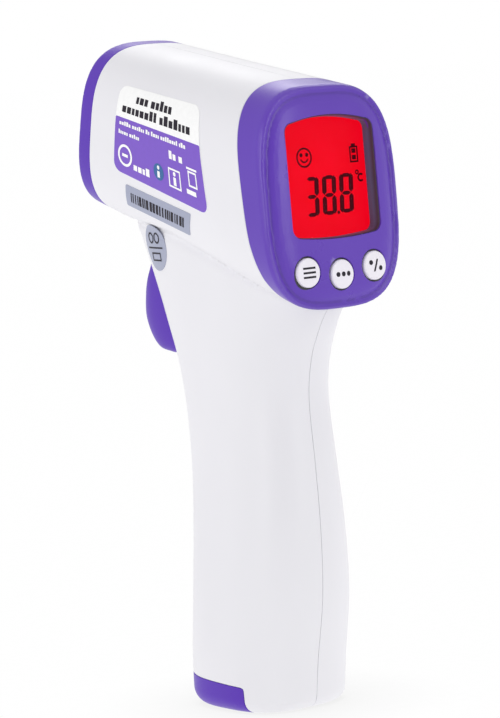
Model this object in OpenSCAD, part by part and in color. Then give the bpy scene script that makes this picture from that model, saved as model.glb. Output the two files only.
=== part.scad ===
// Non-contact infrared thermometer with a pistol grip.
// It stands on the flat end of its handle. The origin is the centre of that flat face, +Z is up,
// +Y points from the display to the sensor end, and +X is the right side as the user holds it.
// The body is two half shells that meet on the plane X = 0. All lengths are in millimetres.

/* [Head] */
// Top of the head at the display ridge, height above the base
head_rear_top = 154.6; // [152:0.2:157]
// Bottom of the head at the display ridge
head_rear_bottom = 100.6; // [99.5:0.1:101.5]
// Top of the head at the sensor end
head_front_top = 168.1; // [164:0.1:170]
// Bottom of the head at the sensor end
head_front_bottom = 126.3; // [125:0.1:128]
// Half width of the head at the display ridge
head_rear_half_w = 21.5; // [21:0.1:22.5]
// Half width of the head at the sensor end
head_front_half_w = 19.6; // [18.5:0.1:20]
// Wall thickness of the shells and bezels
wall = 2; // [1.8:0.1:2.2]

/* [Display face] */
// Backward lean of the display face from vertical, in degrees
face_tilt = 2.2; // [1.5:0.1:3]
// Y of the display face at the middle key
face_y = -37; // [-37.4:0.1:-36.6]
// Height of the middle key
key_z = 108.6; // [108.2:0.1:109]
// How far the rim of the face lies below its middle
face_drop = 3.4; // [3:0.1:3.6]
// Half width of the display opening
opening_half_w = 14.05; // [13.4:0.05:14.4]
// Lower edge of the display opening above the middle key
opening_low = 9.4; // [9.2:0.1:10]
// Upper edge of the display opening above the middle key
opening_high = 37.2; // [36:0.1:37.6]
// Radius of a key
key_r = 3.65; // [3.4:0.05:3.7]
// Spacing of the keys
key_pitch = 10.6; // [10.4:0.1:10.8]
// How much higher the two outer keys sit
key_rise = 1.2; // [0.8:0.1:1.4]

/* [Trigger] */
// Lean of the handle's front face behind the trigger, in degrees
trigger_lean = 23.6; // [23:0.1:24.2]
// Half width of the trigger
trigger_half_w = 6.6; // [6:0.1:6.8]
// Height of the trigger's bulge above the handle's front face
trigger_bulge = 10.7; // [9:0.1:11]

/* [Batteries and door] */
// Radius of an AAA cell
cell_r = 5.25; // [5.1:0.05:5.3]
// Length of an AAA cell with its terminal
cell_l = 44.5; // [44:0.1:44.8]
// Rear edge of the battery door
door_rear_y = -8.4; // [-8.6:0.1:-8]
// Height of the battery door at its rear edge
door_rear_h = 6.8; // [6.6:0.1:7.2]
// Height of the battery door at the front
door_front_h = 8.8; // [8.6:0.1:9.2]

/* [Quality] */
// Segments round half of a body section
half_segments = 20; // [16:2:22]

/* [Hidden] */
$fn = 48;

violet = [0.38, 0.25, 0.7];
white = [0.93, 0.93, 0.95];
slate = [0.25, 0.25, 0.32];
label_grey = [0.66, 0.69, 0.77];
steel = [0.75, 0.76, 0.78];
brass = [0.78, 0.64, 0.35];
alloy = [0.8, 0.8, 0.82];
board_green = [0.1, 0.4, 0.22];
gap = 0.15; // clearance between neighbouring mouldings

// ---------------------------------------------------------------------------------------------
// Curves and skins
// ---------------------------------------------------------------------------------------------

function power(c, n) = sign(c) * pow(abs(c), 2 / n);
// Point of the unit curve |x|^n + |y|^n = 1 in the direction a, closer together at the corners
function rounded(a, n) =
  let (
    x = power(sin(a), 2.4),
    y = power(cos(a), 2.4),
    k = pow(pow(abs(x), n) + pow(abs(y), n), -1 / n)
  )
  [k * x, k * y];

// Value of column k of a table at x, on a smooth curve through its rows
function column_slope(table, i, k) =
  let (a = max(i - 1, 0), b = min(i + 1, len(table) - 1))
  (table[b][k] - table[a][k]) / (table[b][0] - table[a][0]);
function table_row(table, x, i = 0) =
  i >= len(table) - 2 || x < table[i + 1][0] ? i : table_row(table, x, i + 1);
function curve_at(table, x, k) =
  let (
    i = table_row(table, x),
    h = table[i + 1][0] - table[i][0],
    u = (x - table[i][0]) / h
  )
  (2 * u * u * u - 3 * u * u + 1) * table[i][k]
  + (u * u * u - 2 * u * u + u) * h * column_slope(table, i, k)
  + (3 * u * u - 2 * u * u * u) * table[i + 1][k]
  + (u * u * u - u * u) * h * column_slope(table, i + 1, k);

// Closed solid through rings of equal point counts. Each ring turns right-handed about the way
// the rings advance.
module skin(rings) {
  m = len(rings[0]);
  r = len(rings);
  polyhedron(
    points = [for (ring = rings) for (p = ring) p],
    faces = concat(
      [[for (j = [0:m - 1]) j]],
      [[for (j = [m - 1:-1:0]) (r - 1) * m + j]],
      [for (i = [0:r - 2]) for (j = [0:m - 1])
        [i * m + j, (i + 1) * m + (j + 1) % m, i * m + (j + 1) % m]],
      [for (i = [0:r - 2]) for (j = [0:m - 1])
        [i * m + j, (i + 1) * m + j, (i + 1) * m + (j + 1) % m]]
    )
  );
}

// ---------------------------------------------------------------------------------------------
// Head: sections fan from the display ridge (t = 0) to the sensor end (t = 1)
// ---------------------------------------------------------------------------------------------

head_top_rear = [face_y + 5.2, head_rear_top];
head_bottom_rear = [face_y + 3.1, head_rear_bottom];
head_top_front = [34.6, head_front_top];
head_bottom_front = [44, head_front_bottom];
head_width_table = [
  [0, head_rear_half_w, 3.2],
  [0.2, head_rear_half_w - 0.3, 3.1],
  [0.6, head_front_half_w + 0.8, 3.0],
  [1, head_front_half_w, 3.1]
];

function head_top(t) = head_top_rear + t * (head_top_front - head_top_rear);
function head_bottom(t) = head_bottom_rear + t * (head_bottom_front - head_bottom_rear);
function head_half_w(t) = curve_at(head_width_table, t, 1);
function head_power(t) = curve_at(head_width_table, t, 2);
// Parameter t of the section that holds a point of the side view
function head_t(y, z, t = 0.5, steps = 4) =
  steps == 0 ? t :
  let (
    b = head_bottom(t),
    c = head_top(t),
    s = (z - b[1]) / (c[1] - b[1]),
    span = (1 - s) * (head_bottom_front[0] - head_bottom_rear[0])
      + s * (head_top_front[0] - head_top_rear[0])
  )
  head_t(y, z, t + (y - b[0] - s * (c[0] - b[0])) / span, steps - 1);
// Half width of the head at height fraction s, -1 at the bottom and 1 at the top of a section
function head_x(t, s) =
  abs(s) >= 1 ? 0 : head_half_w(t) * pow(1 - pow(abs(s), head_power(t)), 1 / head_power(t));
// A point of the section t at sideways x and height fraction s
function head_point(t, x, s) =
  let (b = head_bottom(t), c = head_top(t), p = (b + c) / 2 + s * (c - b) / 2)
  [x, p[0], p[1]];
function head_ring(t, inset, a0, a1, n, over) =
  let (
    h = norm(head_top(t) - head_bottom(t)) / 2,
    w = head_half_w(t) - inset,
    f = (h - inset) / h,
    e = head_power(t)
  )
  concat(
    [for (i = [0:n]) let (q = rounded(a0 + (a1 - a0) * i / n, e))
      head_point(t, w * q[0], f * q[1])],
    over > 0 ? [head_point(t, over, f), head_point(t, over, -f)] : []
  );
// Left half of the head between two sections; over carries it past the middle plane
module head_half(t0, t1, inset, over = 0, stations = 6, n = half_segments) {
  skin([for (i = [0:stations])
    head_ring(t0 + (t1 - t0) * i / stations, inset, 180, 360, n, over)]);
}
// Whole head between two sections
full_segments = 2 * half_segments;
full_turn = 360 * (full_segments - 1) / full_segments;
module head_full(t0, t1, inset, stations = 6) {
  skin([for (i = [0:stations])
    head_ring(t0 + (t1 - t0) * i / stations, inset, 0, full_turn, full_segments - 1, 0)]);
}

// ---------------------------------------------------------------------------------------------
// Handle: level sections from the base up into the head
// ---------------------------------------------------------------------------------------------

base_round = 3.9; // rounding between the handle's sides and its flat end
base_round_more = 0.9; // added to it at the front, and taken off at the rear
// Height, rear Y, front Y, half width and squareness of the handle
handle_table = [
  [0, -17.4, 18.9, 16.5, 2.8],
  [12, -19.2, 18.8, 16.5, 2.8],
  [28, -22.4, 17.7, 16.1, 2.8],
  [45, -23.3, 16.9, 15.0, 2.8],
  [62, -22.7, 17.1, 13.6, 2.8],
  [78, -21.9, 18.8, 12.9, 2.8],
  [88, -23.8, 21.2, 13.2, 2.7],
  [96, -27.9, 24.6, 13.9, 2.5],
  [104, -33.2, 28.2, 14.8, 2.3],
  [114, -32.6, 32.6, 15.6, 2.15],
  [127, -30, 38.4, 16.2, 2.15]
];
handle_heights = [12, 20, 28, 36, 45, 54, 62, 70, 78, 83, 88, 92, 96, 100, 104, 108, 111, 114, 117, 120,
  123.5, 127];
base_steps = 4;

function handle_rear(z) = curve_at(handle_table, z, 1);
function handle_front(z) = curve_at(handle_table, z, 2);
function handle_half_w(z) = curve_at(handle_table, z, 3);
function handle_power(z) = curve_at(handle_table, z, 4);
function handle_x(y, z) =
  let (
    y0 = (handle_front(z) + handle_rear(z)) / 2,
    s = abs(y - y0) / ((handle_front(z) - handle_rear(z)) / 2)
  )
  s >= 1 || z > 127 ? 0 : handle_half_w(z) * pow(1 - pow(s, handle_power(z)), 1 / handle_power(z));
function handle_ring(z, inset, a0, a1, n, over) =
  let (
    d = (handle_front(z) - handle_rear(z)) / 2 - inset,
    y0 = (handle_front(z) + handle_rear(z)) / 2,
    w = handle_half_w(z) - inset
  )
  concat(
    [for (i = [0:n]) let (q = rounded(a0 + (a1 - a0) * i / n, handle_power(z)))
      [w * q[1], y0 + d * q[0], z]],
    over > 0 ? [[over, y0 - d, z], [over, y0 + d, z]] : []
  );
// Ring of the rounded foot, from the flat end at a = 0 to the sides at a = 90
function foot_ring(a, extra, a0, a1, n) = [for (i = [0:n]) let (
    q = rounded(a0 + (a1 - a0) * i / n, handle_power(0)),
    r = base_round + base_round_more * q[0],
    z = r * (1 - cos(a)),
    inset = r * (1 - sin(a)) + extra
  )
  [
    (handle_half_w(z) - inset) * q[1],
    (handle_front(z) + handle_rear(z)) / 2 + ((handle_front(z) - handle_rear(z)) / 2 - inset) * q[0],
    z
  ]];
// Rings of the outside: the rounded foot, then the heights above it
function outer_rings(a0, a1, n, top, extra = 0) = concat(
  [for (i = [0:base_steps]) foot_ring(90 * i / base_steps, extra, a0, a1, n)],
  [for (z = handle_heights) if (z <= top) handle_ring(z, extra, a0, a1, n, 0)]
);
function inner_rings(a0, a1, n, top, over) = concat(
  [handle_ring(wall, wall + 1.6, a0, a1, n, over), handle_ring(wall + 1.6, wall + 0.2, a0, a1, n, over)],
  [for (z = handle_heights) if (z <= top) handle_ring(z, wall, a0, a1, n, over)]
);
module handle_half(top = 127) {
  skin(outer_rings(90, 270, half_segments, top));
}
module handle_half_cavity(top = 120) {
  skin(inner_rings(90, 270, 12, top, 1));
}

// Half width of the body's outer surface at a point of the side view
function body_x(y, z) =
  let (t = head_t(y, z), b = head_bottom(t), c = head_top(t))
  max(handle_x(y, z), head_x(t, 2 * (z - b[1]) / (c[1] - b[1]) - 1));

// ---------------------------------------------------------------------------------------------
// Frames of the display face, the sensor end and the trigger
// ---------------------------------------------------------------------------------------------

// x to the right, y up the face, z out of the face, zero at the middle key
module on_face() {
  translate([0, face_y, key_z]) rotate([90 - face_tilt, 0, 0]) children();
}
nose = (head_top_front + head_bottom_front) / 2;
nose_pitch = atan2(head_bottom_front[0] - head_top_front[0], head_front_top - head_front_bottom);
// z forward out of the sensor end, y downward
module on_nose() {
  translate([0, nose[0], nose[1]]) rotate([nose_pitch - 90, 0, 0]) children();
}
trigger_foot = [26.4, 100]; // a point of the handle's front line
// x to the right, y up along the handle's front line, z out of it
module on_trigger() {
  translate([0, trigger_foot[0], trigger_foot[1]]) rotate([-90 - trigger_lean, 0, 0])
    rotate([0, 0, 180]) mirror([1, 0, 0]) children();
}
function trigger_yz(s, h) = [
  trigger_foot[0] + s * sin(trigger_lean) + h * cos(trigger_lean),
  trigger_foot[1] + s * cos(trigger_lean) - h * sin(trigger_lean)
];

// Side view outlines, given as [y, z], turned into slabs along X
module slab(x0, x1) {
  translate([x0, 0, 0]) rotate([90, 0, 90]) linear_extrude(x1 - x0) children();
}
module bar_x(x0, x1, y, z, r) {
  translate([x0, y, z]) rotate([0, 90, 0]) cylinder(h = x1 - x0, r = r);
}

// ---------------------------------------------------------------------------------------------
// Joints between the mouldings
// ---------------------------------------------------------------------------------------------

// Line between the shells and the display bezel
joint_line = [[-24, 172], [-24.4, 156], [-25.6, 141.6], [-28, 117.6], [-29.5, 108.6], [-31.5, 103],
  [-32.6, 101], [-33.4, 98]];
module display_side(shift) {
  polygon(concat([for (p = joint_line) p + [shift, 0]], [[-50, 98], [-50, 172]]));
}
front_joint_t = 0.928; // section where the shells meet the front bezel

hinge_y = door_rear_y + 2.4;
hinge_z = 2;
hinge_r = 2; // radius of the door's knuckle
module door_side(grow) {
  polygon(concat(
    [[door_rear_y - grow, -2], [30, -2]],
    [[30, door_front_h + 0.8 + grow], [10, (door_rear_h + door_front_h) / 2 + grow]],
    [[hinge_y, door_rear_h + grow]],
    grow > 0 ? [[door_rear_y - grow, door_rear_h + grow]]
      : [[door_rear_y + 1, door_rear_h - 0.15], [door_rear_y, door_rear_h - 0.65]]
  ));
}
// Space behind the hinge that the door's rear edge swings through, on the left side
door_edge = hinge_y - door_rear_y;
module door_swing() {
  function reach(z) = norm([door_edge, hinge_z - z]) + gap;
  translate([0, hinge_y, hinge_z]) rotate([0, -90, 0]) rotate_extrude()
    polygon([[0, -1], [reach(0), -1], [reach(0), 12.4], [reach(0.3), 13.5], [reach(0.9), 14.6],
      [reach(1.6), 15.3], [reach(2), 15.7], [reach(2), 18], [0, 18]]);
}

// ---------------------------------------------------------------------------------------------
// Shells
// ---------------------------------------------------------------------------------------------

// Centres of the four case screws in the side view
screw_points = [[7, 64], [-13.5, 22], [24, 128.5], [-6, 150]];
pivot = trigger_yz(11, -6.5);
pin_r = 1;
holder_r = 9;
lug_x0 = 7.3;
lug_x1 = 9.6;

module half_skin() {
  difference() {
    union() {
      head_half(0, front_joint_t, 0);
      handle_half();
    }
    head_half(-0.05, front_joint_t + 0.03, wall, 1, 3, 14);
    handle_half_cavity();
    slab(-30, 5) display_side(0);
    slab(-30, 5) door_side(gap);
    door_swing();
    // Slot for the trigger
    on_trigger() translate([-trigger_half_w - 0.4, -13.4, -8])
      cube([trigger_half_w + 2, 26.4, 16.4]);
  }
}

// Half width of the body over a round patch of the side view
function least_x(p, r) = min([for (a = [0:45:315]) body_x(p[0] + r * cos(a), p[1] + r * sin(a))]);
module screw_bosses(r) {
  for (p = screw_points)
    bar_x(0.4 - least_x(p, r), 0, p[0], p[1], r);
}
// Blocks that hold the battery tray and the trigger board
module ribs() {
  for (z = [18, 46])
    translate([1.2 - handle_half_w(z), cell_y - 4, z]) cube([handle_half_w(z) - 1.2 - 11.4, 8, 1.4]);
  for (s = [-6, 9])
    in_line(-11, -7.4, s, s + 2, board_h - 2.4, board_h + 1.2);
}

// Ring segment that carries the sensor holder
module saddle() {
  intersection() {
    head_half(0.4, 0.9, 1, 0, 2);
    on_nose() translate([-30, -30, -21.5]) cube([30, 60, 1.8]);
  }
}

// Everything that both half shells share, drawn for the left one
module half_shell_solid(boss_r) {
  half_skin();
  screw_bosses(boss_r);
  difference() {
    ribs();
    in_line(-8.1, -6, -12, 15, board_h - trigger_board_t - 0.05, board_h + 0.05);
  }
  bar_x(0.5 - least_x(pivot, 2.4), -5.4, pivot[0], pivot[1], 2.4);
  saddle();
  // Lug that holds the door's hinge pin
  difference() {
    union() {
      bar_x(-lug_x1, -lug_x0, hinge_y, hinge_z, 1.9);
      translate([-lug_x1, hinge_y - 4.5, 0.1]) cube([lug_x1 - lug_x0, 4.5, 3.8]);
    }
    bar_x(-lug_x1 - 1, -lug_x0 + 1, hinge_y, hinge_z, 0.78);
  }
}

module half_shell_holes() {
  bar_x(-7.9, 0, pivot[0], pivot[1], pin_r + 0.03);
  on_nose() translate([0, 0, -23]) cylinder(h = 6, r = holder_r + 0.1);
}

module left_shell() {
  color(white) difference() {
    half_shell_solid(2.6);
    half_shell_holes();
    for (p = screw_points) bar_x(-9, 1, p[0], p[1], 1.03);
  }
}

head_seat = 7; // how far from the middle plane the screw heads sit
module right_shell() {
  color(white) mirror([1, 0, 0]) difference() {
    half_shell_solid(3.4);
    half_shell_holes();
    for (p = screw_points) {
      bar_x(-9, 1, p[0], p[1], 1.25);
      bar_x(-30, -head_seat, p[0], p[1], 2.4);
    }
  }
}

module case_screws() {
  color(steel) for (p = screw_points) difference() {
    union() {
      bar_x(-8, head_seat, p[0], p[1], 1);
      bar_x(head_seat, head_seat + 1.5, p[0], p[1], 2.1);
    }
    translate([head_seat + 0.8, p[0] - 1.3, p[1] - 0.25]) cube([1, 2.6, 0.5]);
    translate([head_seat + 0.8, p[0] - 0.25, p[1] - 1.3]) cube([1, 0.5, 2.6]);
  }
}

// ---------------------------------------------------------------------------------------------
// Display bezel and what it carries
// ---------------------------------------------------------------------------------------------

face_mid = (head_rear_top + head_rear_bottom) / 2 - key_z; // centre of the face above the middle key
face_half_h = (head_rear_top - head_rear_bottom) / 2;

// Ring on the face: how far in from the rim, and how far below the face plane
function face_ring(inset, depth) =
  let (n = full_segments, w = head_rear_half_w - inset, h = face_half_h - inset)
  [for (i = [0:n - 1]) let (
      q = rounded(360 * i / n, 3.2),
      x = w * q[0],
      v = face_mid + h * q[1]
    )
    [x, face_y + v * sin(face_tilt) + depth * cos(face_tilt),
      key_z + v * cos(face_tilt) - depth * sin(face_tilt)]];

module bezel_outside() {
  n = full_segments;
  skin(concat(
    [face_ring(7.5, 0), face_ring(5, 0.5), face_ring(2.9, 1.1), face_ring(1.3, 1.9), face_ring(0, face_drop)],
    [for (t = [0.05, 0.12, 0.2]) head_ring(t, 0, 0, 360 * (n - 1) / n, n - 1, 0)]
  ));
}
module bezel_inside() {
  n = full_segments;
  skin(concat(
    [face_ring(6, 2.4), face_ring(wall + 0.4, 4.6)],
    [for (t = [0.06, 0.3]) head_ring(t, wall, 0, 360 * (n - 1) / n, n - 1, 0)]
  ));
}

// Outline of the display opening, with bowed top and bottom edges
opening_bow = 1.4;
opening_corner = 2.5;
module opening(grow) {
  w = opening_half_w + grow;
  r = opening_corner + grow;
  low = opening_low - grow;
  high = opening_high + grow;
  steps = 8;
  polygon(concat(
    [for (i = [0:3]) let (a = 30 * i) [w - r + r * cos(a), high - r + r * sin(a)]],
    [for (i = [1:steps - 1]) let (u = 1 - 2 * i / steps) [(w - r) * u, high + opening_bow * (1 - u * u)]],
    [for (i = [3:6]) let (a = 30 * i) [r - w + r * cos(a), high - r + r * sin(a)]],
    [for (i = [6:9]) let (a = 30 * i) [r - w + r * cos(a), low + r + r * sin(a)]],
    [for (i = [1:steps - 1]) let (u = 2 * i / steps - 1) [(w - r) * u, low - opening_bow * (1 - u * u) / 2]],
    [for (i = [9:12]) let (a = 30 * i) [w - r + r * cos(a), low + r + r * sin(a)]]
  ));
}

key_points = [[-key_pitch, key_rise], [0, 0], [key_pitch, key_rise]];
board_front = -9.6; // depth of the main board's front face below the face plane
board_t = 1.6;
board_screw_points = [[-5, 4.2], [5, 4.2], [-7.4, 42.2], [7.4, 42.2]];

module display_bezel() {
  color(violet) difference() {
    union() {
      difference() {
        intersection() {
          bezel_outside();
          slab(-30, 30) display_side(-0.1);
        }
        bezel_inside();
      }
      // Bosses for the main board's screws
      on_face() for (p = board_screw_points)
        translate([p[0], p[1], board_front]) cylinder(h = -board_front - 2, r = 1.6);
      // Tongues that the half shells clamp
      intersection() {
        difference() {
          head_full(0.02, 0.25, wall + 0.35, 2);
          head_full(0, 0.3, wall + 1.3, 2);
        }
        slab(-30, 30) polygon([[-34, 118], [-24.6, 118], [-22.6, 144], [-34, 144]]);
      }
    }
    on_face() {
      translate([0, 0, -6]) linear_extrude(8) opening(0);
      translate([0, 0, -9]) linear_extrude(6.5) opening(1.4);
      for (k = key_points) translate([k[0], k[1], -8]) cylinder(h = 5.5, r = 4.6);
      for (k = key_points) translate([k[0], k[1], -6]) cylinder(h = 8, r = key_r + 0.3);
      for (p = board_screw_points) translate([p[0], p[1], board_front - 1]) cylinder(h = 6.5, r = 0.83);
    }
  }
}

module display_frame() {
  color(slate) on_face() difference() {
    union() {
      translate([0, 0, -3.6]) linear_extrude(3.2) opening(-gap);
      translate([0, 0, -4.4]) linear_extrude(1.8) opening(1.2);
    }
    translate([0, 0, -6]) linear_extrude(8) opening(-0.9);
    translate([0, 0, -5]) linear_extrude(1.4) opening(0.45);
  }
}

module display_window() {
  color([0.8, 0.85, 0.9, 0.4]) on_face() translate([0, 0, -4.35]) linear_extrude(0.7) opening(0.4);
}

module lcd_panel() {
  color([0.9, 0.1, 0.12]) on_face() translate([-14.6, 6.9, -6.3]) cube([29.2, 31.9, 1.8]);
}

module backlight() {
  color([0.9, 0.9, 0.85]) on_face() {
    translate([-14.2, 9.2, -8.5]) cube([28.4, 29.2, 2.1]);
    // Light-emitting diodes in the edge of the guide
    for (x = [-8, 0, 8]) translate([x - 1.5, 38.3, -8.3]) cube([3, 1, 1.6]);
  }
}

module contact_strip() {
  color([0.85, 0.55, 0.6]) on_face() translate([-13, 7, board_front + 0.02]) cube([26, 1.8, -board_front - 6.34]);
}

module board_outline() {
  polygon([for (i = [0:35]) let (q = rounded(10 * i, 5)) [15 * q[0], 20.8 + 23.2 * q[1]]]);
}
module main_board() {
  color(board_green) on_face() difference() {
    translate([0, 0, board_front - board_t]) linear_extrude(board_t) board_outline();
    for (p = board_screw_points) translate([p[0], p[1], board_front - 5]) cylinder(h = 8, r = 1);
  }
}

module board_screws() {
  color(steel) on_face() for (p = board_screw_points) translate([p[0], p[1], board_front]) difference() {
    union() {
      translate([0, 0, -board_t]) cylinder(h = 6.4, r = 0.8);
      translate([0, 0, -board_t - 1.2]) cylinder(h = 1.2, r = 1.6);
    }
    translate([-1, -0.2, -board_t - 1.3]) cube([2, 0.4, 0.7]);
    translate([-0.2, -1, -board_t - 1.3]) cube([0.4, 2, 0.7]);
  }
}

board_back = board_front - board_t;
module processor_chip() {
  color([0.1, 0.1, 0.11]) on_face() {
    translate([-5, 9, board_back - 1.5]) cube([10, 10, 1.4]);
    // Gull-wing leads along two sides
    for (side = [-1, 1]) for (i = [0:7])
      translate([side * 5.6 - 0.7, 9.9 + 1.1 * i, board_back - 0.3]) cube([1.4, 0.4, 0.3]);
  }
}

module board_components() {
  color([0.65, 0.6, 0.5]) on_face() {
    for (p = [[-11, 12], [-11, 15], [-11, 18], [9, 22], [11.5, 22], [9, 25.5], [11.5, 25.5]])
      translate([p[0] - 1, p[1] - 0.6, board_back - 0.7]) cube([2, 1.2, 0.7]);
    for (p = [[10, 12], [10, 17]])
      translate([p[0] - 1.6, p[1] - 1.4, board_back - 1.1]) cube([3.2, 2.8, 1.1]);
    translate([-10.5, 24, board_back - 4.4]) cylinder(h = 4.4, r = 2);
    translate([-10.5, 4, board_back - 1.8]) cylinder(h = 1.8, r = 1.5);
  }
}

module buzzer() {
  color([0.12, 0.12, 0.12]) on_face() translate([0, 28, board_back - 5]) difference() {
    cylinder(h = 5, r = 6);
    translate([0, 0, -1]) cylinder(h = 2.5, r = 1);
  }
}

connector_points = [[0, 38.4], [0, 0.4]];
module cable_connectors() {
  color([0.9, 0.88, 0.8]) on_face() for (p = connector_points)
    translate([p[0] - 3.5, p[1] - 1.7, board_back - 4]) difference() {
      cube([7, 3.4, 4]);
      translate([0.6, 0.6, -1]) cube([5.8, 2.2, 3]);
    }
}

// ---------------------------------------------------------------------------------------------
// Keys and their switches
// ---------------------------------------------------------------------------------------------

switch_side = 3.8;
switch_top = board_front + 3.4;
plunger_r = 1.2;
plunger_top = switch_top + 1;

module key_switches() {
  color([0.15, 0.15, 0.16]) on_face() for (k = key_points) difference() {
    translate([k[0] - switch_side / 2, k[1] - switch_side / 2, board_front]) cube([switch_side, switch_side, 3.4]);
    translate([k[0], k[1], switch_top - 1.6]) cylinder(h = 3, r = plunger_r + 0.05);
  }
}
module key_plunger(k) {
  color([0.55, 0.35, 0.2]) on_face()
    translate([k[0], k[1], switch_top - 1]) cylinder(h = plunger_top - switch_top + 1, r = plunger_r);
}
// Cap with a domed top, a flange behind the bezel and a stem down to the switch
module key(k) {
  dome_r = 22;
  crown = dome_r - sqrt(dome_r * dome_r - key_r * key_r);
  color(white) on_face() translate([k[0], k[1], 0]) {
    rotate_extrude() polygon(concat(
      [[0, plunger_top], [1.4, plunger_top], [1.4, -3.4], [4.4, -3.4], [4.4, -2.55], [key_r, -2.55]],
      [[key_r, 0.05], [key_r - 0.25, 0.3]],
      [for (i = [5:-1:0]) let (x = (key_r - 0.25) * i / 6)
        [x, 0.3 + crown - (dome_r - sqrt(dome_r * dome_r - x * x))]]
    ));
  }
}
module mode_button() { key(key_points[0]); }
module memory_button() { key(key_points[1]); }
module unit_button() { key(key_points[2]); }
module mode_plunger() { key_plunger(key_points[0]); }
module memory_plunger() { key_plunger(key_points[1]); }
module unit_plunger() { key_plunger(key_points[2]); }

// ---------------------------------------------------------------------------------------------
// Sensor end
// ---------------------------------------------------------------------------------------------

nose_opening_r = 12.5;
module front_bezel() {
  n = full_segments - 1;
  color(violet) difference() {
    union() {
      skin([
        head_ring(front_joint_t + 0.002, 0, 0, full_turn, n, 0),
        head_ring(0.98, 0, 0, full_turn, n, 0),
        head_ring(0.992, 0.4, 0, full_turn, n, 0),
        head_ring(1, 1.4, 0, full_turn, n, 0)
      ]);
      // Tongue that the half shells clamp
      skin([for (t = [0.9, 0.96]) head_ring(t, wall + 0.35, 0, full_turn, n, 0)]);
    }
    skin([for (t = [0.88, 0.97]) head_ring(t, wall + 1.3, 0, full_turn, n, 0)]);
    on_nose() translate([0, 0, -8]) cylinder(h = 12, r = nose_opening_r);
  }
}

// Stepped funnel that shades the sensor
module probe_cone() {
  color(slate) on_nose() rotate_extrude() polygon([
    [nose_opening_r - gap, -0.6], [nose_opening_r - gap, -3], [14.6, -3], [14.6, -4.2], [11.6, -4.2],
    [8.4, -10.6], [5.6, -14.8], [4, -14.8], [4, -13.4], [6.6, -10], [8.6, -9.6], [10.6, -3.6],
    [11.2, -3.4], [11.6, -0.6]
  ]);
}

holder_front = -15;
holder_back = -27;
can_seat = -17;
module sensor_holder() {
  color(alloy) on_nose() difference() {
    translate([0, 0, holder_back]) cylinder(h = holder_front - holder_back, r = holder_r);
    translate([0, 0, holder_back - 1]) cylinder(h = can_seat - holder_back + 1, r = 4.75);
    translate([0, 0, holder_back]) cylinder(h = 20, r = 3.6);
  }
}
// Metal can with a round hole in its cap
module thermopile_can() {
  color(steel) on_nose() difference() {
    union() {
      translate([0, 0, can_seat - 4.3]) cylinder(h = 4.2, r = 4.1);
      translate([0, 0, can_seat - 4.9]) cylinder(h = 0.7, r = 4.65);
    }
    translate([0, 0, can_seat - 3.8]) cylinder(h = 3.4, r = 3.8);
    translate([0, 0, can_seat - 2]) cylinder(h = 3, r = 1.3);
  }
}
module sensor_window() {
  color([0.3, 0.32, 0.36]) on_nose() translate([0, 0, can_seat - 1]) cylinder(h = 0.5, r = 2.6);
}
module sensor_leads() {
  color(brass) on_nose() for (a = [45:90:315]) rotate([0, 0, a])
    translate([2.54, 0, can_seat - 13.4]) cylinder(h = 8.48, r = 0.22);
}
module sensor_board() {
  color(board_green) on_nose() difference() {
    translate([0, 0, holder_back - 2]) cylinder(h = 1.2, r = 8.4);
    for (a = [45:90:315]) rotate([0, 0, a])
      translate([2.54, 0, holder_back - 3]) cylinder(h = 4, r = 0.27);
  }
}
// Flat cable from the sensor board to the main board, drawn as a ribbon in the side view
cable_path = [[7.4, 138.6], [2, 140.6], [-4, 142.6], [-10, 144.4], [-15, 145.8], [-18.35, 146.2]];
module sensor_cable() {
  color([0.7, 0.7, 0.72]) slab(-2.5, 2.5) polygon(concat(
    [for (p = cable_path) p + [0, 0.4]],
    [for (i = [len(cable_path) - 1:-1:0]) cable_path[i] - [0, 0.4]]
  ));
}

// ---------------------------------------------------------------------------------------------
// Trigger
// ---------------------------------------------------------------------------------------------

// Height of the trigger's crown along the front line, from its foot to its tip
trigger_table = [
  [-12.6, -1.2],
  [-12, 2.2],
  [-10.4, 5.4],
  [-8, trigger_bulge - 1.8],
  [-4, trigger_bulge],
  [1, trigger_bulge],
  [5, 8.6],
  [9, 4.9],
  [12.4, -1.2]
];
trigger_stations = [-12.6, -12.3, -11.6, -10.4, -8.6, -6, -3, 0, 3, 6, 9, 12.4];
trigger_root = -3.4; // depth at which the crown joins the inner plate
function trigger_ring(s) =
  let (h = curve_at(trigger_table, s, 1), n = 12)
  concat(
    [for (i = [0:n]) let (a = 180 * i / n, q = trigger_yz(s, trigger_root + (h - trigger_root) * power(sin(a), 3.4)))
      [trigger_half_w * power(cos(a), 3.4), q[0], q[1]]]
  );
tab_s = 5; // where the trigger presses its switch
tab_end = -8.55;

// Inner parts of the trigger are drawn in the frame of its front line
module in_line(x0, x1, s0, s1, h0, h1) {
  slab(x0, x1) polygon([trigger_yz(s0, h0), trigger_yz(s1, h0), trigger_yz(s1, h1), trigger_yz(s0, h1)]);
}
module stud(s, h0, h1, r) {
  q = trigger_yz(s, h0);
  translate([0, q[0], q[1]]) rotate([-90 - trigger_lean, 0, 0]) cylinder(h = h1 - h0, r = r);
}

module trigger() {
  color(violet) difference() {
    union() {
      mirror([1, 0, 0]) skin([for (s = trigger_stations) trigger_ring(s)]);
      in_line(-6, 6, -11.8, 8.2, -6.6, trigger_root + 0.4);
      in_line(-5, 5, 8, 11, -6.6, trigger_root + 0.4);
      in_line(-7.5, 7.5, -13.6, 8, -7.6, -6.2);
      bar_x(-5, 5, pivot[0], pivot[1], 2.5);
      stud(tab_s, tab_end, -7, 1.4);
      stud(spring_s, -8.6, -7, 1.5);
    }
    bar_x(-8, 8, pivot[0], pivot[1], pin_r + 0.06);
  }
}
module trigger_pin() {
  color(steel) bar_x(-7.8, 7.8, pivot[0], pivot[1], pin_r);
}

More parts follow.
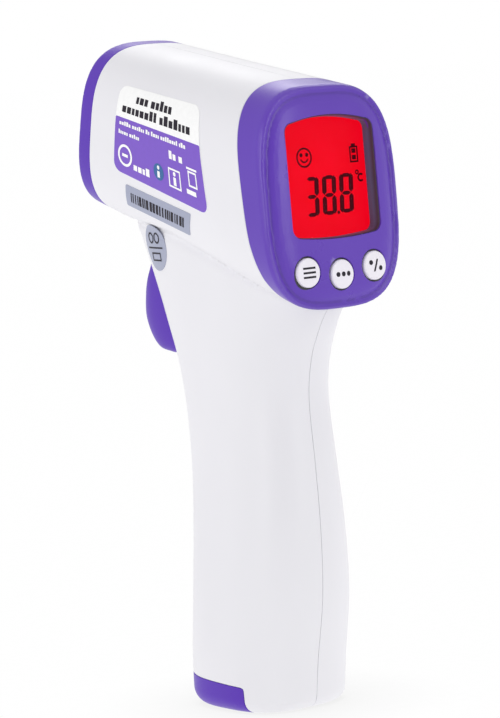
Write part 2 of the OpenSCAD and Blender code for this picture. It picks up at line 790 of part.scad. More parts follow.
spring_s = -5;
spring_top = -7.65;
board_h = -13; // front face of the trigger board, below the front line
trigger_board_t = 1.2;
module trigger_board() {
  color(board_green) difference() {
    in_line(-8, 8, -9.5, 13, board_h - trigger_board_t, board_h);
    stud(tab_s + 3.4, board_h - 3, board_h + 1, 0.4);
  }
}
module trigger_switch() {
  color([0.15, 0.15, 0.16]) difference() {
    in_line(-3, 3, tab_s - 3, tab_s + 3, board_h, -9.6);
    stud(tab_s, -11.2, -9, 1.7);
  }
}
module trigger_plunger() {
  color([0.55, 0.35, 0.2]) stud(tab_s, -10.4, tab_end - 0.09, 1.65);
}

// Helical wire about +Z, drawn from z0 to z1
module coil(r, wire_r, z0, z1, turns, taper = 0, sides = 6, steps = 12) {
  n = turns * steps;
  skin([for (i = [0:n]) let (
      a = 360 * i / steps,
      z = z0 + wire_r + (z1 - z0 - 2 * wire_r) * i / n,
      rr = r - taper * i / n
    )
    [for (j = [0:sides - 1]) let (b = 360 * j / sides)
      [(rr + wire_r * cos(b)) * cos(a), (rr + wire_r * cos(b)) * sin(a), z - wire_r * sin(b)]]]);
}
module trigger_spring() {
  q = trigger_yz(spring_s, board_h + 0.1);
  color(steel) translate([0, q[0], q[1]]) rotate([-90 - trigger_lean, 0, 0])
    coil(2.2, 0.3, 0, spring_top - board_h - 0.1, 4);
}

// Round wire through a path of points, with bends eased over a few steps
function eased(path, steps) = [for (i = [0:steps]) let (
    last = len(path) - 1,
    u = last * i / steps,
    k = min(floor(u), last - 1),
    f = u - k,
    a = path[max(k - 1, 0)],
    b = path[k],
    c = path[k + 1],
    d = path[min(k + 2, last)]
  )
  b + f / 2 * ((c - a) + f * ((2 * a - 5 * b + 4 * c - d) + f * (3 * (b - c) + d - a)))];
module wire(path, r, steps = 9, sides = 8) {
  p = eased(path, steps);
  skin([for (i = [0:steps]) let (
      d = p[min(i + 1, steps)] - p[max(i - 1, 0)],
      along = d / norm(d),
      flat = cross([1, 0, 0], along),
      across = flat / norm(flat),
      third = cross(along, across)
    )
    [for (j = [0:sides - 1]) let (b = 360 * j / sides)
      p[i] + r * (cos(b) * across + sin(b) * third)]]);
}
module trigger_wires() {
  color([0.85, 0.85, 0.2]) for (x = [5, 7]) wire([
    [x, trigger_yz(0, -15)[0], trigger_yz(0, -15)[1]],
    [x, 3, 105],
    [x - 2.5, -9, 109],
    [0.7 * x - 2.8, -22.6, 108.9]
  ], 0.5);
}

// ---------------------------------------------------------------------------------------------
// Batteries and their door
// ---------------------------------------------------------------------------------------------

cell_y = -0.5;
cell_x = 5.45;
cell_z = 6.6;
nub_r = 1.9;
nub_h = 0.9;
tray_top = 56;
tray_low = 9.6;
contact_z = cell_z + cell_l + 3.1;

module cell(up) {
  z0 = cell_z + (up ? 0 : nub_h);
  translate([0, cell_y, z0]) cylinder(h = cell_l - nub_h, r = cell_r);
  translate([0, cell_y, up ? cell_z + cell_l - nub_h : cell_z]) cylinder(h = nub_h, r = nub_r);
}
module battery_cells() {
  color([0.2, 0.22, 0.25]) {
    translate([-cell_x, 0, 0]) cell(true);
    translate([cell_x, 0, 0]) cell(false);
  }
}
module battery_tray() {
  color([0.2, 0.2, 0.22]) difference() {
    translate([-11.3, cell_y - 6.2, tray_low]) cube([22.6, 12.4, tray_top - tray_low]);
    for (x = [-cell_x, cell_x]) {
      translate([x, cell_y, tray_low - 1])
        cylinder(h = cell_z + cell_l + 1.6 - tray_low, r = cell_r + 0.12);
      translate([x - 4.6, cell_y - 4, 50]) cube([9.2, 8, contact_z + 0.45 - 50]);
      translate([x, cell_y, 50]) cylinder(h = 10, r = 0.8);
    }
    // Finger opening in the rear of the tray
    translate([-8, cell_y - 7, 20]) cube([16, 4, 22]);
  }
}
module battery_contacts() {
  color(steel) for (side = [-1, 1]) translate([side * cell_x, cell_y, 0]) {
    translate([-4.4, -3.8, contact_z]) cube([8.8, 7.6, 0.4]);
    translate([0, 0, contact_z]) cylinder(h = 4, r = 0.6);
    if (side < 0) translate([0, 0, contact_z - 3.05]) cylinder(h = 3.2, r = 2.2);
  }
}
module upper_cell_spring() {
  color(steel) translate([cell_x, cell_y, 0])
    coil(3.2, 0.35, contact_z - 3.05, contact_z, 3);
}
door_floor = 1.8;
module bridge_contact() {
  color(steel) {
    translate([-9, cell_y - 3, door_floor + 0.2]) cube([18, 6.5, 0.4]);
    translate([cell_x, cell_y, door_floor + 0.2]) cylinder(h = cell_z - door_floor - 0.25, r = 1.6);
  }
}
module lower_cell_spring() {
  color(steel) translate([-cell_x, cell_y, 0])
    coil(2.5, 0.35, door_floor + 0.6, cell_z - 0.05, 3);
}
module battery_wires() {
  color([0.8, 0.1, 0.1]) for (side = [-1, 1]) wire([
    [side * cell_x, cell_y, contact_z + 4.1],
    [side * 4.4, -3, 74],
    [side * 2 - 1.6, -4, 98],
    [side * 0.65 - 1.55, -22.6, 109]
  ], 0.5, 12);
}

module battery_door() {
  color(violet) difference() {
    union() {
      intersection() {
        difference() {
          skin(outer_rings(0, full_turn, full_segments - 1, 20));
          skin([
            handle_ring(door_floor, door_floor + 1.8, 0, full_turn, full_segments - 1, 0),
            handle_ring(door_floor + 1.8, door_floor + 0.3, 0, full_turn, full_segments - 1, 0),
            handle_ring(30, door_floor + 0.2, 0, full_turn, full_segments - 1, 0)
          ]);
        }
        slab(-30, 30) door_side(0);
      }
      bar_x(-lug_x0 + 0.2, lug_x0 - 0.2, hinge_y, hinge_z, hinge_r - 0.12);
      // Catch that grips behind the shells' front edge
      translate([-6, 14.6, 5.6]) cube([12, 1.2, 4.8]);
      translate([-6, 15.4, 5.6]) cube([12, 2.2, 1.6]);
    }
    bar_x(-20, 20, hinge_y, hinge_z, 0.8);
    // Notches round the shells' lugs
    for (side = [-1, 1])
      translate([side * (lug_x0 + lug_x1) / 2 - (lug_x1 - lug_x0) / 2 - 0.15, hinge_y - 4, -1])
        cube([lug_x1 - lug_x0 + 0.3, 6.6, 8]);
    // Grooves for a fingernail on the flat end
    for (y = [8, 10, 12]) translate([-7, y, -0.4]) cube([14, 0.8, 0.8]);
  }
}
module door_hinge_pin() {
  color(steel) bar_x(-9.4, 9.4, hinge_y, hinge_z, 0.75);
}

// ---------------------------------------------------------------------------------------------
// Labels
// ---------------------------------------------------------------------------------------------

label_lift = 0.06;
label_t = 0.15;
// Thin patch on the left side of the head between four side-view corners:
// rear low, front low, front high, rear high
module side_patch(corners, nu = 5, nv = 12) {
  function spot(u, v) = (1 - v) * ((1 - u) * corners[0] + u * corners[1])
    + v * ((1 - u) * corners[3] + u * corners[2]);
  function at(u, v, lift) = let (p = spot(u, v)) [-body_x(p[0], p[1]) - lift, p[0], p[1]];
  skin([for (i = [0:nu]) concat(
    [for (j = [0:nv]) at(i / nu, j / nv, label_lift + label_t)],
    [for (j = [nv:-1:0]) at(i / nu, j / nv, label_lift)]
  )]);
}
module info_label() {
  color(white) side_patch([[-13.3, 124.4], [24.8, 136.3], [21.3, 157.2], [-10.2, 150.8]]);
}
module serial_label() {
  color(label_grey) side_patch([[-2.8, 119.4], [22.7, 127.1], [20.7, 132.4], [-5.6, 124.8]], 4, 4);
}
// Thin round patch on the left side, centred at a side-view point
module round_patch(centre, r, slices = 10, across = 6) {
  function at(u, w, lift) = let (c = sqrt(1 - u * u), p = centre + r * [u, w * c])
    [-body_x(p[0], p[1]) - lift, p[0], p[1]];
  skin([for (i = [0:slices]) let (u = 0.99 * sin(180 * i / slices - 90)) concat(
    [for (j = [0:across]) at(u, 2 * j / across - 1, label_lift + label_t)],
    [for (j = [across:-1:0]) at(u, 2 * j / across - 1, label_lift)]
  )]);
}
sticker = [18.0, 115.9];
module inspection_sticker() {
  color(label_grey) round_patch(sticker, 5.8);
}

left_shell();
right_shell();
front_bezel();
display_bezel();
display_frame();
display_window();
lcd_panel();
backlight();
contact_strip();
main_board();
board_screws();
processor_chip();
board_components();
buzzer();
cable_connectors();
key_switches();
mode_button();
memory_button();
unit_button();
mode_plunger();
memory_plunger();
unit_plunger();
trigger();
trigger_pin();
trigger_spring();
trigger_board();
trigger_switch();
trigger_plunger();
trigger_wires();
probe_cone();
sensor_holder();
thermopile_can();
sensor_window();
sensor_leads();
sensor_board();
sensor_cable();
case_screws();
battery_cells();
battery_tray();
battery_contacts();
upper_cell_spring();
bridge_contact();
lower_cell_spring();
battery_wires();
battery_door();
door_hinge_pin();
info_label();
serial_label();
inspection_sticker();
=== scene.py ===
"""Looks for the infrared thermometer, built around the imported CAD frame.

All shape work is in millimetres in the row frame (origin at the middle of the flat base, +Z up,
+Y towards the sensor end) and is turned into metres when a mesh is made.
"""

import math

import bpy
import numpy as np
from mathutils import Matrix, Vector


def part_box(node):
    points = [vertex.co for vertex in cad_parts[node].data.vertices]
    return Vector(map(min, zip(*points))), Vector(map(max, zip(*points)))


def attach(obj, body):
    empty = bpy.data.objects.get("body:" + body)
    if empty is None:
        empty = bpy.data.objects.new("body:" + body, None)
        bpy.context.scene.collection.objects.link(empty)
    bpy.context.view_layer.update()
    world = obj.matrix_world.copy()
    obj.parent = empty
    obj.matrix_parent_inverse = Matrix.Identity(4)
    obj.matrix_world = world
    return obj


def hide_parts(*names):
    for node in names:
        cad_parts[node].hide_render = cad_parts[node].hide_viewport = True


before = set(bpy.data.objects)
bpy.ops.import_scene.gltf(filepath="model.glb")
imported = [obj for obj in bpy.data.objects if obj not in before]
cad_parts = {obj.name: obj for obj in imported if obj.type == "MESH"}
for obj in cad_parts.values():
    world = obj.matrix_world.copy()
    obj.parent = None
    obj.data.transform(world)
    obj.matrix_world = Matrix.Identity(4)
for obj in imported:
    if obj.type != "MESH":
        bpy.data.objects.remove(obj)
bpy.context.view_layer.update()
BIG = 1e3

# ---- The body's form, as in the CAD source ----
FACE_Y, KEY_Z = -37.0, 108.6
FACE_TILT = math.radians(2.2)
FACE_IN = np.array([0, math.cos(FACE_TILT), -math.sin(FACE_TILT)])
FACE_UP = np.array([0, math.sin(FACE_TILT), math.cos(FACE_TILT)])
FACE_ORIGIN = np.array([0, FACE_Y, KEY_Z])
TOP_REAR, BOTTOM_REAR = np.array([-31.8, 154.6]), np.array([-33.9, 100.6])
TOP_FRONT, BOTTOM_FRONT = np.array([34.6, 168.1]), np.array([44.0, 126.3])
HEAD_TABLE = [[0, 21.5, 3.2], [0.2, 21.2, 3.1], [0.6, 20.4, 3.0], [1, 19.6, 3.1]]
HANDLE_TABLE = [
    [0, -17.4, 18.9, 16.5, 2.8],
    [12, -19.2, 18.8, 16.5, 2.8],
    [28, -22.4, 17.7, 16.1, 2.8],
    [45, -23.3, 16.9, 15.0, 2.8],
    [62, -22.7, 17.1, 13.6, 2.8],
    [78, -21.9, 18.8, 12.9, 2.8],
    [88, -23.8, 21.2, 13.2, 2.7],
    [96, -27.9, 24.6, 13.9, 2.5],
    [104, -33.2, 28.2, 14.8, 2.3],
    [114, -32.6, 32.6, 15.6, 2.15],
    [127, -30.0, 38.4, 16.2, 2.15],
]
BASE_ROUND, BASE_ROUND_MORE = 3.9, 0.9
JOINT_LINE = np.array(
    [
        [-24, 172], [-24.4, 156], [-25.6, 141.6], [-28, 117.6],
        [-29.5, 108.6], [-31.5, 103], [-32.6, 101], [-33.4, 98],
    ]
)
FRONT_JOINT_T = 0.928
NOSE = (TOP_FRONT + BOTTOM_FRONT) / 2
NOSE_PITCH = math.atan2(BOTTOM_FRONT[0] - TOP_FRONT[0], TOP_FRONT[1] - BOTTOM_FRONT[1])
NOSE_OUT = np.array([0, math.cos(NOSE_PITCH), math.sin(NOSE_PITCH)])
NOSE_ORIGIN = np.array([0, NOSE[0], NOSE[1]])
NOSE_OPENING = 12.5
HINGE = np.array([-6.0, 2.0])
LUG_X = (7.3, 9.6)
DOOR_GROOVES = (8.4, 10.4, 12.4)
DOOR_SIDE = [[-8.4, -3], [30, -3], [30, 9.6], [10, 7.8], [-6, 6.8], [-7.7, 6.65], [-8.4, 6.3]]
SLOT_LEAN = math.radians(23.6)
SLOT_FOOT = np.array([26.4, 100.0])
SLOT_ALONG = np.array([0, math.sin(SLOT_LEAN), math.cos(SLOT_LEAN)])
SLOT_OUT = np.array([0, math.cos(SLOT_LEAN), -math.sin(SLOT_LEAN)])
SLOT_ORIGIN = np.array([0, SLOT_FOOT[0], SLOT_FOOT[1]])
KEYS = {"mode": (-10.6, 1.2), "memory": (0.0, 0.0), "unit": (10.6, 1.2)}
KEY_R = 3.65
SCREWS = [(7, 64), (-13.5, 22), (24, 128.5), (-6, 150)]
CREASE, CREASE_DEEP, CREASE_WIDE = 1.0, 0.75, 0.9

# Depth of the display face below its middle, against distance in from the rim
FACE_PROFILE = np.array(
    [
        [0, 2.15], [0.25, 1.66], [0.5, 1.4], [0.8, 1.3], [1.1, 1.36], [1.5, 1.55], [1.9, 1.66], [2.3, 1.56],
        [2.9, 1.2], [3.6, 0.84], [4.6, 0.5], [5.6, 0.26], [6.8, 0.1], [8, 0.02], [9, 0],
    ]
)


def curve(table, x, column):
    """Smooth curve through a table's rows, as the CAD source draws it."""
    rows = np.array(table, float)
    xs, ys = rows[:, 0], rows[:, column]
    low, high = np.maximum(np.arange(len(xs)) - 1, 0), np.minimum(np.arange(len(xs)) + 1, len(xs) - 1)
    slope = (ys[high] - ys[low]) / (xs[high] - xs[low])
    x = np.clip(x, xs[0], xs[-1])
    i = np.clip(np.searchsorted(xs, x, side="right") - 1, 0, len(xs) - 2)
    h = xs[i + 1] - xs[i]
    u = (x - xs[i]) / h
    return (
        (2 * u**3 - 3 * u**2 + 1) * ys[i]
        + (u**3 - 2 * u**2 + u) * h * slope[i]
        + (3 * u**2 - 2 * u**3) * ys[i + 1]
        + (u**3 - u**2) * h * slope[i + 1]
    )


def lobed(x, v, w, h, e):
    """Distance from a superellipse of half sizes w and h and power e, positive outside."""
    a, b = np.abs(x) / w, np.abs(v) / h
    n = np.maximum((a**e + b**e) ** (1 / e), 1e-3)
    steep = n ** (1 - e) * np.sqrt((a ** (e - 1) / w) ** 2 + (b ** (e - 1) / h) ** 2)
    return (n - 1) / np.maximum(steep, 1e-6)


def head_place(p):
    """Section parameter, place up the section from -1 to 1, and half height of the section."""
    y, z = p[:, 1], p[:, 2]
    t = np.full(len(p), 0.5)
    for _ in range(7):
        bottom = BOTTOM_REAR + t[:, None] * (BOTTOM_FRONT - BOTTOM_REAR)
        top = TOP_REAR + t[:, None] * (TOP_FRONT - TOP_REAR)
        s = (z - bottom[:, 1]) / (top[:, 1] - bottom[:, 1])
        span = (1 - s) * (BOTTOM_FRONT[0] - BOTTOM_REAR[0]) + s * (TOP_FRONT[0] - TOP_REAR[0])
        t = np.clip(t + (y - bottom[:, 0] - s * (top[:, 0] - bottom[:, 0])) / np.maximum(span, 5), -0.3, 1.3)
    return t, 2 * s - 1, np.hypot(*(top - bottom).T) / 2, span


def head_side(p):
    t, s, half, _ = head_place(p)
    return lobed(p[:, 0], s * half, curve(HEAD_TABLE, t, 1), half, curve(HEAD_TABLE, t, 2))


def rounded_both(a, b, r):
    """Inside both a and b, with an edge of radius r where they meet."""
    return np.minimum(np.maximum(a, b), -r) + np.hypot(np.maximum(a + r, 0), np.maximum(b + r, 0))


def eased_either(a, b, k):
    """Inside a or b, with a soft inner corner."""
    h = np.clip(0.5 + 0.5 * (b - a) / k, 0, 1)
    return b + (a - b) * h - k * h * (1 - h)


def face_depth(p):
    return (p - FACE_ORIGIN) @ FACE_IN


def head(p):
    side = head_side(p)
    depth = np.interp(-side, FACE_PROFILE[:, 0], FACE_PROFILE[:, 1])
    steep = (np.interp(-side + 0.15, *FACE_PROFILE.T) - np.interp(-side - 0.15, *FACE_PROFILE.T)) / 0.3
    face = (depth - face_depth(p)) / np.sqrt(1 + steep**2)
    nose = (p - NOSE_ORIGIN) @ NOSE_OUT
    return rounded_both(rounded_both(side, nose, 1.3), face, 0.5)


def handle(p):
    z = np.clip(p[:, 2], 0, 127)
    rear, front = curve(HANDLE_TABLE, z, 1), curve(HANDLE_TABLE, z, 2)
    ahead = p[:, 1] - (front + rear) / 2
    half = (front - rear) / 2
    side = lobed(p[:, 0], ahead, curve(HANDLE_TABLE, z, 3), half, curve(HANDLE_TABLE, z, 4))
    r = BASE_ROUND + BASE_ROUND_MORE * np.clip(ahead / half, -1, 1)
    return rounded_both(np.maximum(side, p[:, 2] - 127), -p[:, 2], r)


def body(p, deep=CREASE_DEEP):
    one, two = head(p), handle(p)
    return eased_either(one, two, CREASE) + deep * np.exp(-(((one - two) / CREASE_WIDE) ** 2))


def unfolded(p):
    """The body without its crease, which films bridge."""
    return body(p, 0.0)


# Fields that part the body into its mouldings. Each is a distance, positive on the side named.
def before_joint(p):
    """Positive in front of the joint between the shells and the display bezel."""
    line = JOINT_LINE[::-1]
    y = np.where(p[:, 2] < 98, -33.4 - 2 * (98 - p[:, 2]), np.interp(p[:, 2], line[:, 1], line[:, 0]))
    return p[:, 1] - y


def behind_nose_joint(p):
    t, _, _, span = head_place(p)
    return (FRONT_JOINT_T - t) * span


def polygon_distance(q, outline):
    """Distance from a closed outline in a plane, positive outside."""
    a = np.array(outline, float)
    b = np.roll(a, -1, 0)
    best = np.full(len(q), BIG)
    inside = np.zeros(len(q), bool)
    for (x0, y0), (x1, y1) in zip(a, b):
        d = np.array([x1 - x0, y1 - y0])
        u = np.clip(((q - [x0, y0]) @ d) / (d @ d), 0, 1)
        best = np.minimum(best, np.hypot(q[:, 0] - x0 - u * d[0], q[:, 1] - y0 - u * d[1]))
        cross = (q[:, 1] < y0) != (q[:, 1] < y1)
        with np.errstate(divide="ignore", invalid="ignore"):
            at = x0 + (q[:, 1] - y0) * (x1 - x0) / (y1 - y0)
        inside ^= cross & (q[:, 0] < at)
    return np.where(inside, -best, best)


def beyond_door(p):
    near = p[:, 2] < 16
    out = np.full(len(p), BIG)
    out[near] = polygon_distance(p[near][:, 1:], DOOR_SIDE)
    return out


def box_distance(q, half, r):
    d = np.abs(q) - (np.array(half) - r)
    return np.hypot(*np.maximum(d, 0).T) + np.minimum(d.max(1), 0) - r


def beyond_slot(p):
    """Positive outside the slot that the trigger comes out of."""
    s, h = (p - SLOT_ORIGIN) @ SLOT_ALONG, (p - SLOT_ORIGIN) @ SLOT_OUT
    side = box_distance(np.stack([p[:, 0], s + 0.2], 1), (7.0, 13.2), 1.5)
    return np.where(h > -8, side, BIG)


def beyond_screws(p):
    away = [np.hypot(p[:, 1] - y, p[:, 2] - z) - 2.4 for y, z in SCREWS]
    return np.where(p[:, 0] > 0, np.min(away, 0), BIG)


OPENING_HALF_W, OPENING_LOW, OPENING_HIGH = 14.05, 9.4, 37.2
OPENING_CORNER, OPENING_BOW = 2.5, 1.4


def opening_outline(grow=0.0, steps=14):
    """Outline of the display opening on the face, with bowed top and bottom edges."""
    w, r = OPENING_HALF_W + grow, OPENING_CORNER + grow
    low, high = OPENING_LOW - grow, OPENING_HIGH + grow
    points = []
    for cx, cy, start in (
        (w - r, high - r, 0), (r - w, high - r, 90), (r - w, low + r, 180), (w - r, low + r, 270),
    ):
        for i in range(7):
            a = math.radians(start + 15 * i)
            points.append((cx + r * math.cos(a), cy + r * math.sin(a)))
        if start in (0, 180):
            edge, bow, way = (high, OPENING_BOW, 1) if start == 0 else (low, -OPENING_BOW / 2, -1)
            for i in range(1, steps):
                s = 1 - 2 * i / steps
                points.append((way * (w - r) * s, edge + bow * (1 - s**2)))
    return points


def face_xy(p):
    return np.stack([p[:, 0], (p - FACE_ORIGIN) @ FACE_UP], 1)


def beyond_face_holes(p):
    q = face_xy(p)
    away = [polygon_distance(q, opening_outline()) - 0.25]
    away += [np.hypot(q[:, 0] - x, q[:, 1] - v) - KEY_R - 0.58 for x, v in KEYS.values()]
    return np.where(face_depth(p) < 5, np.min(away, 0), BIG)


def beyond_nose_hole(p):
    q = p - NOSE_ORIGIN
    out = q @ NOSE_OUT
    return np.where(out > -5, np.sqrt(np.maximum((q**2).sum(1) - out**2, 0)) - NOSE_OPENING, BIG)


# ---- Meshing: an even net of quads on a distance field, cut along fields and given a wall ----
def gradient(field, p, h=0.03):
    g = np.empty_like(p)
    for k in range(3):
        step = np.zeros(3)
        step[k] = h
        g[:, k] = (field(p + step) - field(p - step)) / (2 * h)
    return g


def settle(field, p, reach, rounds=1):
    """Moves points onto the field's zero surface."""
    for _ in range(rounds):
        g = gradient(field, p)
        step = field(p) / np.maximum((g**2).sum(1), 0.05)
        p = p - g * np.clip(step, -reach, reach)[:, None]
    return p


def net(field, low, high, pitch, relax=4):
    """Quads on the zero surface of a field inside a box."""
    axes = [np.arange(a, b + pitch, pitch) for a, b in zip(low, high)]
    shape = [len(a) for a in axes]
    points = np.stack(np.meshgrid(*axes, indexing="ij"), -1).reshape(-1, 3)
    inside = (field(points) < 0).reshape(shape)
    count = sum(
        inside[a : shape[0] - 1 + a, b : shape[1] - 1 + b, c : shape[2] - 1 + c].astype(np.int8)
        for a in (0, 1)
        for b in (0, 1)
        for c in (0, 1)
    )
    active = (count > 0) & (count < 8)
    index = np.full(active.shape, -1)
    index[active] = np.arange(active.sum())
    p = np.array(low) + (np.argwhere(active) + 0.5) * pitch
    quads = []
    for axis in range(3):
        u, v = (axis + 1) % 3, (axis + 2) % 3
        one = np.take(inside, range(shape[axis] - 1), axis)
        two = np.take(inside, range(1, shape[axis]), axis)
        at = np.argwhere(one != two)
        at = at[(at[:, u] > 0) & (at[:, v] > 0) & (at[:, u] < shape[u] - 1) & (at[:, v] < shape[v] - 1)]
        du, dv = np.eye(3, dtype=int)[u], np.eye(3, dtype=int)[v]
        quad = np.stack([index[tuple(c.T)] for c in (at - du - dv, at - dv, at, at - du)], 1)
        flip = ~one[tuple(at.T)]
        quad[flip] = quad[flip][:, ::-1]
        quads.append(quad)
    quads = np.concatenate(quads)
    p = settle(field, p, pitch * 0.8, 3)
    edges = np.concatenate([quads[:, [i, (i + 1) % 4]] for i in range(4)])
    edges = np.unique(np.sort(edges, 1), axis=0)
    degree = np.bincount(edges.ravel(), minlength=len(p))
    uses = np.bincount(quads.ravel(), minlength=len(p))
    free = uses >= 3
    for _ in range(relax):
        total = np.zeros_like(p)
        np.add.at(total, edges[:, 0], p[edges[:, 1]])
        np.add.at(total, edges[:, 1], p[edges[:, 0]])
        mean = total / np.maximum(degree, 1)[:, None]
        p[free] += 0.5 * (mean - p)[free]
        p = settle(field, p, pitch * 0.5)
    p = settle(field, p, pitch * 0.5, 2)
    return p, [tuple(q) for q in quads.tolist()]


def cut(p, faces, field, surface=None, snap=0.12):
    """Keeps the part of a surface where field is positive, with its new edge on the field's zero line."""
    g = field(p)
    near = np.abs(g) < snap
    if near.any():
        q = p[near]
        for _ in range(3):
            slope = gradient(field, q)
            q = q - slope * (field(q) / np.maximum((slope**2).sum(1), 0.2))[:, None]
            if surface:
                q = settle(surface, q, 0.3)
        p = p.copy()
        p[near] = q
        g[near] = 0
    kept, crossing, pairs = [], [], {}
    for f in faces:
        values = [g[i] for i in f]
        if min(values) >= 0:
            if max(values) > 0:
                kept.append(f)
        elif max(values) > 0:
            crossing.append(f)
            for a, b in zip(f, f[1:] + f[:1]):
                if g[a] * g[b] < 0:
                    pairs.setdefault((min(a, b), max(a, b)), len(pairs))
    if pairs:
        ends = np.array(list(pairs))
        a, b = p[ends[:, 0]], p[ends[:, 1]]
        low = g[ends[:, 0]][:, None]
        t0, t1 = np.zeros((len(a), 1)), np.ones((len(a), 1))
        for _ in range(12):
            t = (t0 + t1) / 2
            same = field(a + (b - a) * t)[:, None] * low > 0
            t0, t1 = np.where(same, t, t0), np.where(same, t1, t)
        new = a + (b - a) * (t0 + t1) / 2
        if surface:
            new = settle(surface, new, 0.3)
        start = len(p)
        p = np.concatenate([p, new])
        for f in crossing:
            polygon = []
            for a, b in zip(f, f[1:] + f[:1]):
                if g[a] >= 0:
                    polygon.append(a)
                if g[a] * g[b] < 0:
                    polygon.append(start + pairs[(min(a, b), max(a, b))])
            if len(polygon) > 2:
                kept.append(tuple(polygon))
    used = sorted({i for f in kept for i in f})
    place = {i: k for k, i in enumerate(used)}
    return p[used], [tuple(place[i] for i in f) for f in kept]


def unit(v):
    return v / np.maximum(np.linalg.norm(v, axis=-1, keepdims=True), 1e-9)


def walled(p, faces, normals, wall, roll, steps=3):
    """Gives a surface a wall behind it, with every open edge rolled over."""
    sides = {}
    for f in faces:
        for a, b in zip(f, f[1:] + f[:1]):
            sides[(a, b)] = True
    border = [(a, b) for a, b in sides if (b, a) not in sides]
    out = {}
    for a, b in border:
        d = unit(p[b] - p[a])
        for i in (a, b):
            out.setdefault(i, []).append(np.cross(d, normals[i]))
    rim = sorted(out)
    place = {i: k for k, i in enumerate(rim)}
    m = np.array([sum(out[i]) / len(out[i]) for i in rim])
    m = m / np.maximum((m**2).sum(1, keepdims=True), 0.45)
    n = normals[rim]
    m = m - n * (m * n).sum(1, keepdims=True)
    base = p[rim]
    points, shading = [p], [normals]
    for k in range(1, steps + 1):
        a = math.pi / 2 * k / steps
        points.append(base + m * roll * math.sin(a) - n * roll * (1 - math.cos(a)))
        shading.append(n * math.cos(a) + unit(m) * math.sin(a))
    points += [base + m * roll - n * wall, p - normals * wall]
    shading += [unit(m), -normals]
    count, ring = len(p), len(rim)
    faces = list(faces)
    levels = [lambda i: i] + [lambda i, k=k: count + k * ring + place[i] for k in range(steps + 1)]
    back = count + (steps + 1) * ring
    levels.append(lambda i: back + i)
    inner = [tuple(back + i for i in reversed(f)) for f in faces]
    for a, b in border:
        for one, two in zip(levels, levels[1:]):
            faces.append((one(b), one(a), two(a), two(b)))
    return np.concatenate(points), faces + inner, np.concatenate(shading)


def make(name, p, faces, body_name, material, replaces=None, slot=None, shading=None, sharp=None):
    """Turns points in millimetres into a piece that rides on a body. replaces names a CAD node."""
    mesh = bpy.data.meshes.new(name)
    mesh.from_pydata((np.asarray(p) / 1000).tolist(), [], [tuple(f) for f in faces])
    mesh.validate()
    mesh.shade_smooth()
    mesh.materials.append(material)
    if sharp:
        mesh.set_sharp_from_angle(angle=math.radians(sharp))
    if shading is not None and len(shading) == len(mesh.vertices):
        mesh.normals_split_custom_set_from_vertices(np.asarray(shading).tolist())
    piece = bpy.data.objects.new(name, mesh)
    bpy.context.scene.collection.objects.link(piece)
    if replaces:
        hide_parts(replaces)
    slot = slot or SLOTS.get(material)
    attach(piece, body_name)
    return piece


def mirrored(p, faces):
    return p * [-1, 1, 1], [tuple(reversed(f)) for f in faces]


def moulding(name, field, p, faces, cuts, wall, roll, *args, **kwargs):
    """Cuts a net along each field, walls it and makes the piece."""
    for c in cuts:
        p, faces = cut(p, faces, c, field)
    normals = unit(gradient(field, p))
    p, faces, shading = walled(p, faces, normals, wall, roll)
    return make(name, p, faces, *args, shading=shading, **kwargs)


def skin(rings, capped=True):
    """Quads through rings of points. Each ring turns right-handed about the way the rings advance."""
    rings = np.array(rings, float)
    r, m = rings.shape[:2]
    faces = []
    for i in range(r - 1):
        for j in range(m):
            k = (j + 1) % m
            faces.append((i * m + j, i * m + k, (i + 1) * m + k, (i + 1) * m + j))
    if capped:
        faces.append(tuple(range(m - 1, -1, -1)))
        faces.append(tuple((r - 1) * m + j for j in range(m)))
    return rings.reshape(-1, 3), faces


def looped(rings):
    """Closed solid through rings, the last of which joins the first."""
    p, faces = skin(list(rings) + [rings[0]], capped=False)
    count = len(p) - len(rings[0])
    return p[:count], [tuple(i % count for i in f) for f in faces]


def inset(outline, d):
    """An anticlockwise outline moved inwards by d."""
    q = np.array(outline, float)
    inward = lambda e: unit(np.stack([-e[:, 1], e[:, 0]], 1))
    n = inward(q - np.roll(q, 1, 0)) + inward(np.roll(q, -1, 0) - q)
    return q + d * n / np.maximum((n**2).sum(1, keepdims=True) / 2, 0.5)


def prism(outline, x0, x1, ease=0.2):
    """Side-view outline drawn out along X, with eased ends."""
    start = [(x0, ease), (x0 + 0.3 * ease, 0.3 * ease), (x0 + ease, 0)]
    ends = start + [(x0 + x1 - x, d) for x, d in reversed(start)]
    return skin([np.column_stack([np.full(len(outline), x), inset(outline, d)]) for x, d in ends])


def arc(centre, r, start, end, count=24):
    a = np.radians(np.linspace(start, end, count))
    return list(zip(centre[0] + r * np.cos(a), centre[1] + r * np.sin(a)))


def eased_profile(points, r_wanted, steps=4):
    """An outline with its corners rounded to a small radius."""
    points = np.array(points, float)
    out = []
    for i, b in enumerate(points):
        a, c = points[i - 1], points[(i + 1) % len(points)]
        r = min(r_wanted, 0.45 * np.linalg.norm(a - b), 0.45 * np.linalg.norm(c - b))
        start, end = b + unit(a - b) * r, b + unit(c - b) * r
        for k in range(steps + 1):
            u = k / steps
            out.append((1 - u) ** 2 * start + 2 * u * (1 - u) * b + u**2 * end)
    return np.array(out)


def turned(profile, origin, axis, count):
    """Solid of revolution. profile holds (radius, height) anticlockwise; height is along axis."""
    axis, side = unit(np.array(axis, float)), np.array([1.0, 0, 0])
    a = np.linspace(0, 2 * math.pi, count, endpoint=False)[:, None]
    out = np.cos(a) * side + np.sin(a) * np.cross(axis, side)
    return looped([origin + axis * h + max(r, 1e-4) * out for r, h in profile])


